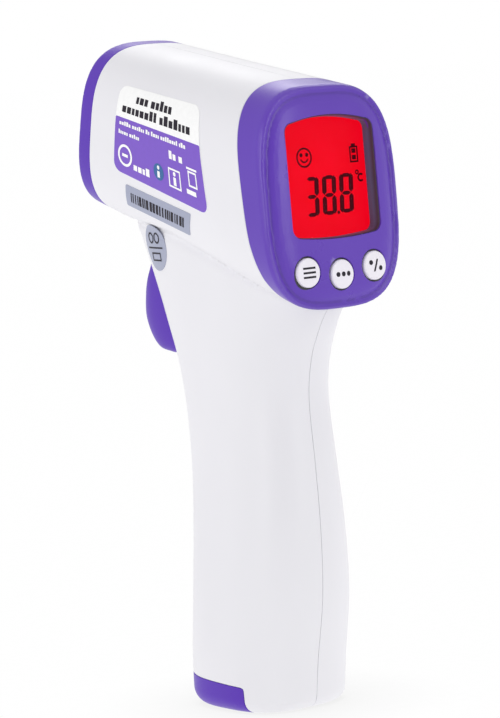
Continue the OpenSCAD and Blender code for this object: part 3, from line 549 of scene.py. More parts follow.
def on_face(x, v, z):
    """Point on the display face's frame: x to the right, v up, z out of the face."""
    x, v, z = np.broadcast_arrays(np.asarray(x, float), v, z)
    return FACE_ORIGIN + x[..., None] * np.array([1, 0, 0]) + v[..., None] * FACE_UP - z[..., None] * FACE_IN


# ---- Materials ----
def linear(r, g, b):
    """Linear colour from display values 0 to 255."""
    c = np.array([r, g, b]) / 255
    return tuple(np.where(c <= 0.04045, c / 12.92, ((c + 0.055) / 1.055) ** 2.4)) + (1,)


class Nodes:
    """Short hand for building a material's node tree."""

    def __init__(self, name):
        self.material = bpy.data.materials.new(name)
        self.material.use_nodes = True
        self.tree = self.material.node_tree
        self.shader = self.tree.nodes["Principled BSDF"]
        self.output = self.tree.nodes["Material Output"]
        self.where = self.add("ShaderNodeTexCoord").outputs["Object"]

    def add(self, kind, **inputs):
        node = self.tree.nodes.new(kind)
        for key, value in inputs.items():
            self.put(node.inputs[key.replace("_", " ")], value)
        return node

    def put(self, socket, value):
        if isinstance(value, bpy.types.NodeSocket):
            self.tree.links.new(value, socket)
        else:
            socket.default_value = value

    def set(self, **inputs):
        for key, value in inputs.items():
            self.put(self.shader.inputs[key.replace("_", " ")], value)

    def noise(self, scale, detail=2.0, rough=0.5, stretch=None):
        where = self.where
        if stretch:
            mapping = self.add("ShaderNodeMapping", Vector=where, Scale=stretch)
            where = mapping.outputs["Vector"]
        node = self.add("ShaderNodeTexNoise", Vector=where, Scale=scale, Detail=detail, Roughness=rough)
        return node.outputs["Fac"]

    def span(self, value, low, high, start=0.0, end=1.0):
        node = self.add("ShaderNodeMapRange", Value=value)
        node.inputs["From Min"].default_value = start
        node.inputs["From Max"].default_value = end
        node.inputs["To Min"].default_value = low
        node.inputs["To Max"].default_value = high
        return node.outputs["Result"]

    def blend(self, factor, a, b):
        node = self.tree.nodes.new("ShaderNodeMix")
        node.data_type = "RGBA"
        self.put(node.inputs["Factor"], factor)
        self.put(node.inputs[6], a)
        self.put(node.inputs[7], b)
        return node.outputs[2]

    def bump(self, height, distance, strength=1.0, before=None):
        node = self.add("ShaderNodeBump", Height=height, Strength=strength, Distance=distance)
        if before:
            self.put(node.inputs["Normal"], before)
        return node.outputs["Normal"]


def moulded(
    name, colour, rough=0.38, grain=0.000012, wear_and_highlight=0.12, coat=0, sub=0, variation=0.05, painted_hollow_shade=0, ior=1.5
):
    """Injection-moulded plastic: fine spark texture, faint flow marks, convex edges lightened as rubbed wear
    and, where set high, as a painted highlight, and hollows optionally darkened as painted shade.
    """
    n = Nodes(name)
    colour = np.array(colour)
    lighter = tuple(np.clip(colour[:3] * (1 + variation) + 0.01, 0, 1)) + (1,)
    darker = tuple(colour[:3] * (1 - variation)) + (1,)
    flow = n.noise(28, 3, 0.5, (1, 1, 0.45))
    base = n.blend(n.span(flow, 0, 1, 0.35, 0.65), darker, lighter)
    # Convex edges are lightened: rubbed wear, and at large amounts a painted highlight on ridges.
    edge = n.add("ShaderNodeNewGeometry").outputs["Pointiness"]
    rubbed_and_highlit = tuple(colour[:3] * 0.7 + 0.3 * np.array([0.8, 0.8, 0.85])) + (1,)
    base = n.blend(n.span(edge, 0, wear_and_highlight, 0.53, 0.62), base, rubbed_and_highlit)
    # Hollows darkened towards a third of the colour: painted shade in grooves.
    if painted_hollow_shade:
        base = n.blend(n.span(edge, painted_hollow_shade, 0, 0.44, 0.49), base, tuple(colour[:3] * 0.3) + (1,))
    spark = n.noise(5200, 2, 0.6)
    smear = n.noise(60, 4, 0.6)
    n.set(
        Base_Color=base,
        Roughness=n.span(smear, rough - 0.05, rough + 0.06, 0.3, 0.7),
        Normal=n.bump(spark, grain, 0.6, n.bump(n.noise(420, 2, 0.5), grain * 1.5, 0.35)),
        IOR=ior,
    )
    if coat:
        n.set(Coat_Weight=coat, Coat_Roughness=0.12)
    if sub:
        n.set(Subsurface_Weight=sub, Subsurface_Scale=0.002, Subsurface_Radius=(1, 0.95, 0.9))
    return n.material


def metal(name, colour, rough, stretch=None):
    n = Nodes(name)
    streak = n.noise(900, 3, 0.6, stretch)
    darker = tuple(np.array(colour) * 0.82) + (1,)
    tone = n.blend(n.span(streak, 0, 1, 0.3, 0.7), darker, tuple(colour) + (1,))
    n.set(Base_Color=tone, Metallic=1.0, Roughness=n.span(streak, rough - 0.08, rough + 0.1, 0.3, 0.7))
    n.set(Normal=n.bump(streak, 0.00001, 0.5))
    return n.material


def ink(name, colour, rough=0.5, variation=0.02, shine=0.5):
    n = Nodes(name)
    tone = n.noise(900, 2)
    colour = np.array(colour[:3])
    paler, deeper = np.clip(colour * (1 + variation), 0, 1), colour * (1 - variation)
    n.set(
        Base_Color=n.blend(n.span(tone, 0, 1, 0.3, 0.7), tuple(deeper) + (1,), tuple(paler) + (1,)),
        Roughness=n.span(tone, rough - 0.05, rough + 0.05),
        Normal=n.bump(n.noise(2600, 2), 0.000006, 0.4),
        Specular_IOR_Level=shine,
    )
    return n.material


def glow(name):
    """Backlit display: red, a little brighter in the middle, with a fine cell grid."""
    n = Nodes(name)
    low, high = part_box("lcd_panel")
    middle = [(a + b) / 2 for a, b in zip(low, high)]
    away = n.add("ShaderNodeVectorMath", Vector=n.where)
    away.operation = "DISTANCE"
    away.inputs[1].default_value = middle
    fall = n.span(away.outputs["Value"], 0.97, 0.86, 0.004, 0.022)
    tint = n.blend(n.span(n.noise(160, 2), 0, 1, 0.3, 0.7), linear(250, 3, 29), linear(254, 5, 34))
    n.set(
        Base_Color=(0.004, 0.0003, 0.0005, 1), Roughness=0.5, Specular_IOR_Level=0.03, Emission_Color=tint,
        Emission_Strength=fall, Normal=n.bump(n.noise(3000, 1), 0.000004, 0.3),
    )
    return n.material


def recess(name):
    """Display frame: slate by the display, darker and browner towards the face."""
    n = Nodes(name)
    depth = n.add("ShaderNodeVectorMath", Vector=n.where)
    depth.operation = "DOT_PRODUCT"
    depth.inputs[1].default_value = FACE_IN
    start = float(FACE_ORIGIN @ FACE_IN) / 1000
    near = n.span(depth.outputs["Value"], 0, 1, start + 0.001, start + 0.0022)
    grain = n.noise(5200, 2, 0.6)
    n.set(
        Base_Color=n.blend(near, linear(66, 54, 74), linear(88, 100, 138)),
        Roughness=n.span(grain, 0.38, 0.5),
        Normal=n.bump(grain, 0.00001, 0.5),
    )
    return n.material


def clear(name):
    n = Nodes(name)
    see = n.tree.nodes.new("ShaderNodeBsdfTransparent")
    see.inputs["Color"].default_value = (0.985, 0.985, 0.99, 1)
    shine = n.tree.nodes.new("ShaderNodeBsdfGlossy")
    shine.inputs["Roughness"].default_value = 0.04
    n.put(shine.inputs["Normal"], n.bump(n.noise(900, 2), 0.000002, 0.3))
    fresnel = n.add("ShaderNodeFresnel", IOR=1.35)
    mix = n.tree.nodes.new("ShaderNodeMixShader")
    n.put(mix.inputs[0], n.span(fresnel.outputs[0], 0, 0.012))
    n.put(mix.inputs[1], see.outputs[0])
    n.put(mix.inputs[2], shine.outputs[0])
    n.put(n.output.inputs["Surface"], mix.outputs[0])
    return n.material


WHITE = moulded("shell_white", linear(234, 233, 238), 0.4, wear_and_highlight=0.3, sub=0.05, variation=0.008)
VIOLET = moulded("trim_violet", (0.105, 0.03, 0.45, 1), 0.3, wear_and_highlight=0.06, variation=0.03)
# The trim violet again for the display face, with a painted highlight on its convex ridges and painted shade
# in its grooves.
FACE_VIOLET_PAINTED_LIGHT = moulded("face_violet_painted_light", (0.105, 0.03, 0.45, 1), 0.3, wear_and_highlight=0.5, variation=0.03, painted_hollow_shade=0.8)
# The trim violet a little darker, as painted shade, and with a lower IOR for less shine; for the front bezel,
# the door and the trigger.
SHADED_VIOLET = moulded("shaded_violet", (0.098, 0.026, 0.45, 1), 0.36, wear_and_highlight=0.04, variation=0.03, ior=1.36)
KEY_WHITE = moulded("key_white", linear(240, 236, 245), 0.34, wear_and_highlight=0.2, sub=0.05, variation=0.01)
SLATE = moulded("frame_slate", linear(84, 86, 116), 0.42, wear_and_highlight=0.15)
BLACK = moulded("black_plastic", (0.018, 0.018, 0.02, 1), 0.45)
CREAM = moulded("connector_cream", (0.78, 0.74, 0.62, 1), 0.4)
BROWN = moulded("plunger_brown", (0.28, 0.12, 0.05, 1), 0.4)
PINK_RUBBER = moulded("strip_rubber", (0.7, 0.42, 0.46, 1), 0.6)
BOARD = moulded("board_green", (0.025, 0.19, 0.07, 1), 0.32, grain=0.00003, variation=0.12)
GUIDE = moulded("light_guide", (0.85, 0.85, 0.83, 1), 0.2, sub=0.2)
PARTS = moulded("components", (0.4, 0.32, 0.22, 1), 0.4, variation=0.3)
CABLE = moulded("ribbon_cable", (0.55, 0.55, 0.58, 1), 0.4)
YELLOW = moulded("wire_yellow", (0.75, 0.62, 0.05, 1), 0.4)
RED = moulded("wire_red", (0.6, 0.02, 0.02, 1), 0.4)
CELL = moulded("cell_sleeve", (0.03, 0.06, 0.08, 1), 0.25, coat=0.5)
STEEL = metal("steel", (0.78, 0.79, 0.81), 0.25)
RECESS = recess("frame_recess")
ALLOY = metal("alloy", (0.82, 0.83, 0.85), 0.3, (1, 1, 12))
BRASS = metal("brass", (0.78, 0.58, 0.28), 0.25, (1, 1, 12))
FILTER = moulded("filter_glass", (0.06, 0.07, 0.09, 1), 0.08, coat=1.0)
LIT = glow("lcd_red")
WINDOW = clear("window_clear")
DARK_INK = ink("ink_dark", linear(38, 33, 44), shine=0.2)
SEGMENT = ink("ink_segment", linear(74, 6, 20), 0.4, shine=0.04)
LABEL_WHITE = ink("label_white", linear(253, 253, 253), 0.32)
LABEL_VIOLET = ink("label_violet", linear(122, 82, 200), 0.32)
LABEL_GREY = ink("label_grey", linear(160, 165, 188), 0.34)
LABEL_BLUE = ink("label_blue", linear(34, 98, 158), 0.32)

# The record's finish for each moulded material
SLOTS = {WHITE: "shell_white", KEY_WHITE: "key_white", SLATE: "frame_slate", RECESS: "frame_slate"}
SLOTS.update(dict.fromkeys((VIOLET, FACE_VIOLET_PAINTED_LIGHT, SHADED_VIOLET), "trim_violet"))

# ---- Shells, bezels and door ----
SEAM = 0.18  # radius of the rolled edge along each joint
SHELL_WALL = 1.9
half_p, half_f = net(body, (-24.4, -37, -1.6), (2.6, 43, 169), 1.0)


def gap(field, distance, sign=1):
    return lambda p: sign * field(p) - distance


shell_cuts = [
    lambda p: -p[:, 0] - 0.03 - SEAM,
    gap(before_joint, 0.04 + SEAM),
    gap(behind_nose_joint, 0.04 + SEAM),
    gap(beyond_door, 0.08 + SEAM),
    gap(beyond_slot, SEAM),
]
for c in shell_cuts:
    half_p, half_f = cut(half_p, half_f, c, body)
moulding(
    "shell_left", body, half_p, half_f, [], SHELL_WALL, SEAM,
    "housing", WHITE, replaces="left_shell",
)
other_p, other_f = mirrored(half_p, half_f)
moulding(
    "shell_right", body, other_p, other_f, [gap(beyond_screws, SEAM)], SHELL_WALL, SEAM,
    "housing", WHITE, replaces="right_shell",
)

p, f = net(head, (-24.2, -39, 97), (24.2, -22.5, 159), 0.55)
moulding(
    "bezel_rear", head, p, f, [gap(before_joint, 0.02 + SEAM, -1), beyond_face_holes], 1.7, 0.25,
    "housing", FACE_VIOLET_PAINTED_LIGHT, replaces="display_bezel",
)
p, f = net(head, (-22.5, 27, 120), (22.5, 47, 171), 0.7)
moulding(
    "bezel_front", head, p, f,
    [gap(behind_nose_joint, 0.02 + SEAM, -1), gap(beyond_nose_hole, 0.3)], 1.8, 0.3,
    "housing", SHADED_VIOLET, replaces="front_bezel",
)


def door_form(p):
    """Foot of the handle, with fingernail grooves across its underside."""
    dip = sum(np.clip(1 - ((p[:, 1] - y) / 0.55) ** 2, 0, 1) for y in DOOR_GROOVES)
    dip *= 0.4 * np.clip((7 - np.abs(p[:, 0])) / 0.6, 0, 1)
    return handle(p - dip[:, None] * [0, 0, 1])


def beyond_notches(p):
    """Positive outside the notches that the shells' hinge lugs sit in."""
    q = np.stack([np.abs(p[:, 0]) - sum(LUG_X) / 2, p[:, 1] - HINGE[0] + 0.7], 1)
    return np.where(p[:, 2] < 4, box_distance(q, ((LUG_X[1] - LUG_X[0]) / 2 + 0.15, 3.3), 0.3), BIG)


p, f = net(door_form, (-18.5, -11, -1.2), (18.5, 21, 11), 0.42)
moulding(
    "door_skin", door_form, p, f, [gap(beyond_door, SEAM, -1), gap(beyond_notches, 0.1)], 1.7, SEAM,
    "battery_door", SHADED_VIOLET, replaces="battery_door",
)
p, f = prism(arc(HINGE, 1.88, 0, 352.5, 48), -7.1, 7.1, 0.25)
make("door_knuckle", p, f, "battery_door", VIOLET, sharp=50)
catch = eased_profile([(14.6, 5.6), (17.7, 5.6), (17.7, 7.2), (15.8, 7.2), (15.8, 10.4), (14.6, 10.4)], 0.3)
p, f = prism(catch, -6, 6)
make("door_catch", p, f, "battery_door", VIOLET, sharp=50)
for side, at in (("left", -1), ("right", 1)):
    lug = arc(HINGE, 1.9, -90, 90) + [(HINGE[0] - 4.5, HINGE[1] + 1.9), (HINGE[0] - 4.5, HINGE[1] - 1.9)]
    p, f = prism(lug, *sorted(at * x for x in LUG_X), 0.2)
    make("hinge_lug_" + side, p, f, "housing", WHITE, sharp=50)

# ---- Trigger ----
TRIGGER_CROWN = [
    [-12.6, -1.2], [-12, 2.2], [-10.4, 5.4], [-8, 8.9], [-4, 10.7],
    [1, 10.7], [5, 8.6], [9, 4.9], [12.4, -1.2],
]
TRIGGER_ROOT, TRIGGER_HALF_W = -3.4, 6.6


def trigger_ring(s, count=48):
    crown = curve(TRIGGER_CROWN, np.array([s]), 1)[0]
    a = np.linspace(0, math.pi, count)
    x = TRIGGER_HALF_W * np.sign(np.cos(a)) * np.abs(np.cos(a)) ** (2 / 3.4)
    h = TRIGGER_ROOT + (crown - TRIGGER_ROOT) * np.sin(a) ** (2 / 3.4)
    return SLOT_ORIGIN + x[:, None] * [-1, 0, 0] + s * SLOT_ALONG + h[:, None] * SLOT_OUT


stations = -12.6 + 25 * (1 - np.cos(np.linspace(0, math.pi, 60))) / 2
p, f = skin([trigger_ring(s) for s in stations])
make("trigger_tongue", p, f, "trigger", SHADED_VIOLET, replaces="trigger", sharp=55)

# ---- Keys ----
DOME_R = 22.0
CROWN = DOME_R - math.sqrt(DOME_R**2 - KEY_R**2)


def key_height(r):
    return 0.3 + CROWN - (DOME_R - np.sqrt(DOME_R**2 - np.square(r)))


def disc(x, v, r, count=28):
    a = np.linspace(0, 2 * math.pi, count, endpoint=False)
    return [(x + r * math.cos(i), v + r * math.sin(i)) for i in a]


def bar(x0, v0, x1, v1):
    return [(x0, v0), (x1, v0), (x1, v1), (x0, v1)]


def diced(outlines, step):
    """Flat outlines as small faces, so that marks can follow a curved surface."""
    points, faces = [], []
    for outline in outlines:
        q = np.array(outline, float)
        start = len(points)
        if len(q) == 4:
            nu = max(1, math.ceil(max(np.linalg.norm(q[1] - q[0]), np.linalg.norm(q[2] - q[3])) / step))
            nv = max(1, math.ceil(max(np.linalg.norm(q[3] - q[0]), np.linalg.norm(q[2] - q[1])) / step))
            for i in range(nu + 1):
                for j in range(nv + 1):
                    u, w = i / nu, j / nv
                    points.append((1 - w) * ((1 - u) * q[0] + u * q[1]) + w * ((1 - u) * q[3] + u * q[2]))
            at = lambda i, j: start + i * (nv + 1) + j
            cells = [(i, j) for i in range(nu) for j in range(nv)]
            faces += [(at(i, j), at(i + 1, j), at(i + 1, j + 1), at(i, j + 1)) for i, j in cells]
        else:
            middle, n = q.mean(0), len(q)
            points += [middle] + list((q + middle) / 2) + list(q)
            for i in range(n):
                j = (i + 1) % n
                faces.append((start, start + 1 + i, start + 1 + j))
                faces.append((start + 1 + i, start + 1 + n + i, start + 1 + n + j, start + 1 + j))
    return np.array(points), faces


def key_glyph(kind):
    """Plain marks for a key, as lists of outlines in millimetres."""
    if kind == "mode":
        return [bar(-1.95, y - 0.25, 1.95, y + 0.25) for y in (-1.1, 0, 1.1)]
    if kind == "memory":
        return [disc(x, 0, 0.6) for x in (-1.65, 0, 1.65)]
    slash = [(-0.85, -1.5), (-0.3, -1.5), (0.85, 1.5), (0.3, 1.5)]
    return [slash, disc(-1.5, 0.75, 0.6), disc(1.5, -0.75, 0.6)]


for kind, (x, v) in KEYS.items():
    # A black ring under the gap round each key: painted shade that darkens the gap.
    gap_shade_ring = [(3.64, -1.5), (4.3, -1.5), (4.3, -0.75), (4.1, -0.55), (3.64, -0.55)]
    p, f = turned(eased_profile(gap_shade_ring, 0.06, 2), on_face(x, v, 0.0), -FACE_IN, 72)
    make("key_gap_shade_" + kind, p, f, "housing", BLACK, sharp=60)
    rim = KEY_R - 0.3
    profile = [(0, -4), (1.3, -4), (1.3, -3.3), (4.2, -3.3), (4.2, -2.7), (KEY_R - 0.11, -2.7)]
    profile += [(KEY_R - 0.1, 0.0), (KEY_R - 0.13, 0.12), (KEY_R - 0.2, 0.24), (rim, key_height(rim))]
    profile += [(r, key_height(r)) for r in np.linspace(rim, 0, 9)[1:]]
    p, f = turned(profile, on_face(x, v, 0.0), -FACE_IN, 72)
    button = kind + "_button"
    make("key_" + kind, p, f, button, KEY_WHITE, replaces=button, sharp=60)
    q, f = diced(key_glyph(kind), 0.5)
    p = on_face(x + q[:, 0], v + q[:, 1], key_height(np.hypot(*q.T)) + 0.015)
    make("key_mark_" + kind, p, f, button, DARK_INK)

# ---- Display ----
# Section of the frame: distance out from the opening's edge, and height over the face
collar = [
    (0.6, -3.75), (0.6, -1.3), (-0.04, -1.2), (-0.04, -0.5),
    (-0.09, -0.42), (-0.18, -0.42), (-0.24, -0.5), (-0.42, -3.75),
]
p, f = looped([[on_face(x, v, z) for x, v in opening_outline(grow, 24)] for grow, z in collar])
make("display_collar", p, f, "housing", RECESS, replaces="display_frame", sharp=60)

SEGMENTS = {"3": "abcdg", "8": "abcdefg"}
LCD_TOP = -4.5


def digit(character, x, v, w=4.5, h=9.6, thick=0.95, wide=1.4, lean=0.06):
    """Seven-segment digit as outlines. x and v are its lower left corner."""
    t, k, mid = thick / 2, wide / 2, h / 2
    g = 0.1  # gap between segments

    def flat(y):
        x0, x1 = g + k, w - g - k
        return [(x0, y), (x0 + k, y + t), (x1 - k, y + t), (x1, y), (x1 - k, y - t), (x0 + k, y - t)]

    def tall(x, low, high):
        y0, y1 = low + g, high - g
        return [(x, y0), (x + k, y0 + k), (x + k, y1 - k), (x, y1), (x - k, y1 - k), (x - k, y0 + k)]

    parts = {
        "a": flat(h - t), "g": flat(mid), "d": flat(t), "b": tall(w - k, mid, h), "c": tall(w - k, 0, mid),
        "f": tall(k, mid, h), "e": tall(k, 0, mid),
    }
    return [[(x + a + lean * b, v + b) for a, b in parts[s]] for s in SEGMENTS[character]]


def ring_faces(x, v, r0, r1, count=36, start=0.0, end=2 * math.pi):
    """A ring, or part of one, as short quads."""
    a = np.linspace(start, end, count + 1)
    at = lambda r, i: (x + r * math.cos(i), v + r * math.sin(i))
    return [[at(r0, i), at(r1, i), at(r1, j), at(r0, j)] for i, j in zip(a, a[1:])]


def frame_of(x0, v0, x1, v1, t):
    low, high = v0 + t, v1 - t
    level = [bar(x0, v0, x1, low), bar(x0, high, x1, v1)]
    return level + [bar(x0, low, x0 + t, high), bar(x1 - t, low, x1, high)]


marks = digit("3", -6.1, 14.3) + digit("8", -0.55, 14.35) + digit("8", 4.95, 14.5) + [disc(4.5, 14.75, 0.42)]
marks += ring_faces(11.4, 24.1, 0.24, 0.6, 20) + ring_faces(12.5, 22.75, 0.58, 1.06, 20, 0.8, 5.5)
marks += ring_faces(-5.05, 28.65, 2.0, 2.45) + [disc(-5.95, 29.3, 0.5), disc(-4.15, 29.3, 0.5)]
marks += ring_faces(-5.05, 28.75, 1.0, 1.4, 14, 3.5, 5.9)
marks += frame_of(9.5, 26.5, 12.2, 30.5, 0.42) + [bar(10.2, 30.5, 11.5, 31.1)]
marks += [bar(10.2, v, 11.5, v + 1.1) for v in (27.2, 28.8)]
q, f = diced(marks, 30)
p = on_face(q[:, 0], q[:, 1], LCD_TOP + 0.03)
make("lcd_marks", p, f, "housing", SEGMENT)

# ---- Sensor end ----
cone = [
    (12.3, -0.5), (11.7, -0.5), (11.3, -3.3), (10.6, -3.6), (8.6, -9.6), (6.6, -10), (4.1, -13.4),
    (4.1, -14.8), (5.6, -14.8), (8.4, -10.7), (11.6, -4.2), (14.5, -4.2), (14.5, -3.1), (12.3, -3.1),
]
p, f = turned(eased_profile(cone, 0.3), NOSE_ORIGIN, NOSE_OUT, 120)
make("sensor_cone", p, f, "housing", SLATE, replaces="probe_cone")

# ---- Labels on the left side ----
def side_surface(yz, lift):
    """Points on the left side of the body at side-view places, lifted off along the normal."""
    yz = np.array(yz, float)
    low, high = np.full(len(yz), -26.0), np.full(len(yz), -2.0)
    at = lambda x: np.column_stack([x, yz])
    for _ in range(26):
        middle = (low + high) / 2
        outside = unfolded(at(middle)) > 0
        low, high = np.where(outside, middle, low), np.where(outside, high, middle)
    p = at((low + high) / 2)
    return p + unit(gradient(unfolded, p)) * lift


class Patch:
    """A printed film laid on the left side, drawn in its own flat millimetres."""

    def __init__(self, corners, width, height):
        self.corners = np.array(corners, float)
        self.size = np.array([width, height], float)

    def place(self, q):
        u, v = (np.array(q, float) / self.size).T
        weights = np.stack([(1 - u) * (1 - v), u * (1 - v), u * v, (1 - u) * v], 1)
        return weights @ self.corners

    def area(self, outline_distance, step=0.8, margin=0.47):
        """Grid mesh of the region where a distance function of flat points is negative."""
        span = self.size + 2 * margin
        nu, nv = (math.ceil(s / step) for s in span)
        along, across = np.linspace(0, span[0], nu + 1), np.linspace(0, span[1], nv + 1)
        grid = [(x - margin, y - margin, 0) for x in along for y in across]
        at = [i * (nv + 1) + j for i in range(nu) for j in range(nv)]
        quads = [(k, k + nv + 1, k + nv + 2, k + 1) for k in at]
        return cut(np.array(grid), quads, lambda q: -outline_distance(q[:, :2]), snap=0.05)


def film(name, patch, outline_distance, lift, thick, material, **kwargs):
    p, f = patch.area(outline_distance)
    flat = patch.place(p[:, :2])
    top, low = side_surface(flat, lift + thick), side_surface(flat, lift - 0.05)
    n = len(p)
    sides = {(a, b) for face in f for a, b in zip(face, face[1:] + face[:1])}
    rim = [(a, b) for a, b in sides if (b, a) not in sides]
    faces = [tuple(reversed(face)) for face in f] + [(a, b, n + b, n + a) for a, b in rim]
    return make(name, np.concatenate([top, low]), faces, "housing", material, sharp=50, **kwargs)


def print_on(name, patch, outlines, lift, material):
    """Ink marks on a film. Marks are diced so that they follow the surface."""
    q, faces = diced(outlines, 0.9)
    p = side_surface(patch.place(q), lift)
    return make(name, p, [tuple(reversed(f)) for f in faces], "housing", material)


def greeked(start, end, v, size, words, rng):
    """A line of plain blocks that stands for lettering, from start down to end."""
    blocks, x = [], start
    for word in words:
        for _ in range(word):
            wide = size * rng.choice([0.5, 0.62, 0.74])
            tall = size * rng.choice([0.72, 0.72, 1.0])
            if x - wide < end:
                return blocks
            blocks.append(bar(x - wide, v, x, v + tall))
            x -= wide + 0.2 * size
        x -= 0.45 * size
    return blocks


def rounded_box(size, r):
    half = np.array(size) / 2
    return lambda q: box_distance(q - half, half, r)


# Corners in the side view: low rear, low front, high front, high rear. Flat places on the label
# run from the rear, so a line of marks starts at a high value.
FILM = 0.02, 0.1  # lift off the surface and thickness
info = Patch([[-13.3, 124.4], [24.8, 136.3], [21.3, 157.2], [-10.2, 150.8]], 38.0, 24.0)
rng = np.random.default_rng(11)
label_outline = rounded_box(info.size, 2.7)
film("label_base", info, label_outline, *FILM, LABEL_WHITE, replaces="info_label", slot="label_white")
field_outline = lambda q: np.maximum(label_outline(q) + 0.06, q[:, 1] - 15.4)
film("label_field", info, field_outline, 0.1, 0.05, LABEL_VIOLET)
title = greeked(29.6, 11.0, 20.2, 2.4, (3, 7), rng) + greeked(35.4, 3.2, 17.0, 2.4, (8, 11), rng)
print_on("label_title", info, title, 0.15, DARK_INK)
small = greeked(36.0, 6.2, 13.4, 1.15, (5, 6, 2, 4, 8, 9), rng) + greeked(36.2, 26.4, 10.9, 1.15, (5, 6), rng)
small += ring_faces(33.2, 5.3, 2.3, 3.0) + [bar(32.0, 4.9, 34.4, 5.7)]
small += greeked(29.6, 22.6, 2.4, 2.0, (5,), rng)
small += frame_of(9.8, 2.7, 14.8, 7.4, 0.45) + [disc(12.3, 6.2, 0.55), bar(11.75, 3.4, 12.85, 5.4)]
small += frame_of(2.9, 4.9, 6.4, 8.6, 0.45) + [bar(2.5, 8.9, 6.8, 9.4), bar(3.8, 3.0, 7.6, 4.1)]
small += greeked(14.0, 8.0, 9.6, 2.0, (2, 2), rng)
print_on("label_marks", info, small, 0.19, LABEL_WHITE)
print_on("label_dot", info, [disc(19.0, 5.0, 2.1)], 0.19, LABEL_BLUE)
print_on("label_dot_mark", info, [disc(19.0, 6.1, 0.5), bar(18.5, 3.6, 19.5, 5.2)], 0.23, LABEL_WHITE)

serial = Patch([[-2.8, 119.4], [22.7, 127.1], [20.7, 132.4], [-5.6, 124.8]], 26.8, 5.6)
film(
    "serial_film", serial, rounded_box(serial.size, 0.25), *FILM, LABEL_GREY,
    replaces="serial_label", slot="label_grey",
)
x, strokes = 2.4, []
while x < 24.4:
    wide = rng.choice([0.38, 0.6, 0.95])
    strokes.append(bar(x, 1.4, x + wide, 3.9))
    x += wide + rng.choice([0.3, 0.42, 0.6])
print_on("serial_strokes", serial, strokes, 0.17, DARK_INK)

STICKER, STICKER_R = np.array([18.0, 115.9]), 5.9
c = STICKER_R
dot = Patch([STICKER + d for d in ([-c, -c], [c, -c], [c, c], [-c, c])], 2 * c, 2 * c)
from_middle = lambda q: np.hypot(q[:, 0] - c, q[:, 1] - c) - c
film(
    "sticker_film", dot, from_middle, *FILM, LABEL_GREY,
    replaces="inspection_sticker", slot="label_grey",
)
sticker_marks = [bar(c - 4.2, c - 0.2, c + 4.2, c + 0.2)] + ring_faces(c + 1.6, c + 2.5, 1.0, 1.45, 24)
sticker_marks += ring_faces(c - 1.6, c + 2.5, 1.0, 1.45, 24)
sticker_marks += frame_of(c - 2.6, c - 3.4, c + 2.6, c - 1.2, 0.4)
print_on("sticker_marks", dot, sticker_marks, 0.18, DARK_INK)

# ---- Materials of the CAD nodes that show as they are ----
CARRIED = {
    WINDOW: "display_window",
    LIT: "lcd_panel",
    GUIDE: "backlight",
    PINK_RUBBER: "contact_strip",
    BOARD: "main_board trigger_board sensor_board",
    STEEL: "board_screws trigger_pin trigger_spring thermopile_can case_screws battery_contacts "
    "upper_cell_spring bridge_contact lower_cell_spring door_hinge_pin",
    BLACK: "processor_chip buzzer key_switches trigger_switch battery_tray",
    PARTS: "board_components",
    CREAM: "cable_connectors",
    BROWN: "mode_plunger memory_plunger unit_plunger trigger_plunger",
    YELLOW: "trigger_wires",
    RED: "battery_wires",
    ALLOY: "sensor_holder",
    BRASS: "sensor_leads",
    FILTER: "sensor_window",
    CABLE: "sensor_cable",
    CELL: "battery_cells",
}
for material, names in CARRIED.items():
    for name in names.split():
        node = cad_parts[name]
        node.data.materials.clear()
        node.data.materials.append(material)

# ---- Floor, light and camera ----
FLOOR_M = 40


def light_floor(name):
    """White sweep that lights the object from below. The camera sees only the shade on it, so
    that a door swung below the floor's level still shows."""
    n = Nodes(name)
    near = n.add("ShaderNodeAmbientOcclusion", Distance=0.03)
    near.samples = 8
    shade = n.span(near.outputs["AO"], 0.13, 0.0, 0.25, 1.0)
    speck = n.span(n.noise(300, 2), 0.0, 0.005, 0.3, 0.7)
    both = n.add("ShaderNodeMath")
    n.put(both.inputs[0], shade)
    n.put(both.inputs[1], speck)
    seen, result = n.add("ShaderNodeMixShader"), n.add("ShaderNodeMixShader")
    n.put(seen.inputs[0], both.outputs[0])
    n.put(seen.inputs[1], n.add("ShaderNodeBsdfTransparent").outputs[0])
    n.put(seen.inputs[2], n.add("ShaderNodeEmission", Color=(0, 0, 0, 1)).outputs[0])
    n.put(result.inputs[0], n.add("ShaderNodeLightPath").outputs["Is Camera Ray"])
    n.put(result.inputs[1], n.add("ShaderNodeEmission", Color=(1, 1, 1, 1)).outputs[0])
    n.put(result.inputs[2], seen.outputs[0])
    n.put(n.output.inputs["Surface"], result.outputs[0])
    return n.material


floor_mesh = bpy.data.meshes.new("floor")
floor_corners = [(x * FLOOR_M, y * FLOOR_M, 0) for x, y in ((-1, -1), (1, -1), (1, 1), (-1, 1))]
floor_mesh.from_pydata(floor_corners, [], [(0, 1, 2, 3)])
floor_mesh.materials.append(light_floor("floor_pale"))
floor = bpy.data.objects.new("floor", floor_mesh)
bpy.context.scene.collection.objects.link(floor)

# The world lights a side less the more squarely it faces along the camera's bearing. The camera sees
# plain white.
BEARING = (-0.62, -0.78, 0.08)
world = bpy.data.worlds.new("studio")
bpy.context.scene.world = world
world.use_nodes = True
tree = world.node_tree


def world_node(kind, operation=None, **values):
    node = tree.nodes.new(kind)
    if operation:
        node.operation = operation
    for key, value in values.items():
        node.inputs[key.replace("_", " ")].default_value = value
    return node


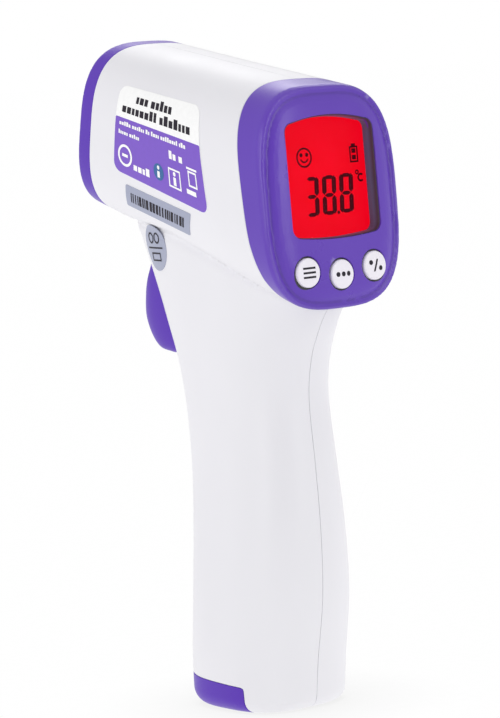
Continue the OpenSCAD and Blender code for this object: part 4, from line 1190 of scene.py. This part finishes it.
facing = world_node("ShaderNodeVectorMath", "DOT_PRODUCT")
facing.inputs[1].default_value = BEARING
size = world_node("ShaderNodeMath", "ABSOLUTE")
square = world_node("ShaderNodeMath", "POWER")
square.inputs[1].default_value = 2
strength = world_node("ShaderNodeMapRange", From_Min=0, From_Max=1, To_Min=0.88, To_Max=0.18)
sky = tree.nodes["Background"]
sky.inputs["Color"].default_value = (1, 1, 1, 1)
plain = world_node("ShaderNodeBackground", Color=(1, 1, 1, 1), Strength=1.0)
pick = world_node("ShaderNodeMixShader")
for start, end in (
    (world_node("ShaderNodeTexCoord").outputs["Generated"], facing.inputs[0]),
    (facing.outputs["Value"], size.inputs[0]),
    (size.outputs[0], square.inputs[0]),
    (square.outputs[0], strength.inputs["Value"]),
    (strength.outputs["Result"], sky.inputs["Strength"]),
    (world_node("ShaderNodeLightPath").outputs["Is Camera Ray"], pick.inputs[0]),
    (sky.outputs[0], pick.inputs[1]),
    (plain.outputs[0], pick.inputs[2]),
    (pick.outputs[0], tree.nodes["World Output"].inputs["Surface"]),
):
    tree.links.new(start, end)


def placed(name, data, right, up, back, where):
    """Adds a light or camera that looks along the opposite of back."""
    o = bpy.data.objects.new(name, data)
    m = np.eye(4)
    m[:3, 0], m[:3, 1], m[:3, 2], m[:3, 3] = right, up, back, where
    o.matrix_world = Matrix(m.tolist())
    bpy.context.scene.collection.objects.link(o)
    return o


LIGHTS_FACE = np.array([0, 0, 0.1])


def softbox(name, where, size, radiance):
    """Rectangular studio light, in metres, turned to the middle of the object."""
    data = bpy.data.lights.new(name, "AREA")
    data.shape = "RECTANGLE"
    data.size, data.size_y = size
    data.energy = radiance * math.pi * size[0] * size[1]
    back = unit(np.array(where, float) - LIGHTS_FACE)
    right = unit(np.cross([0, 0, 1.0], back))
    placed(name, data, right, np.cross(back, right), back, where)


softbox("light_left", (-1.4, 0.0, 0.35), (0.6, 1.2), 2.5)
softbox("light_rear_right", (0.42, -1.35, 0.5), (0.5, 1.2), 2.5)
softbox("light_back", (0.75, 1.05, 0.95), (0.9, 0.6), 2.4)

# Camera fitted to the object's own frame
CAMERA_AT = np.array([-0.5046, -0.6186, 0.1595])
YAW, PITCH, ROLL = (math.radians(a) for a in (39.2, 5.2, 3.6))
LENS = 160.4
ahead = np.array([math.sin(YAW), math.cos(YAW), 0])
forward = math.cos(PITCH) * ahead - math.sin(PITCH) * np.array([0, 0, 1])
level = np.array([math.cos(YAW), -math.sin(YAW), 0])
down = np.cross(forward, level)
right = math.cos(ROLL) * level + math.sin(ROLL) * down
up = math.sin(ROLL) * level - math.cos(ROLL) * down
camera_data = bpy.data.cameras.new("camera")
camera_data.lens = LENS
camera_data.clip_start, camera_data.clip_end = 0.01, 100
scene = bpy.context.scene
scene.camera = placed("camera", camera_data, right, up, -forward, CAMERA_AT)
scene.view_settings.view_transform = "Standard"
scene.view_settings.look = "None"
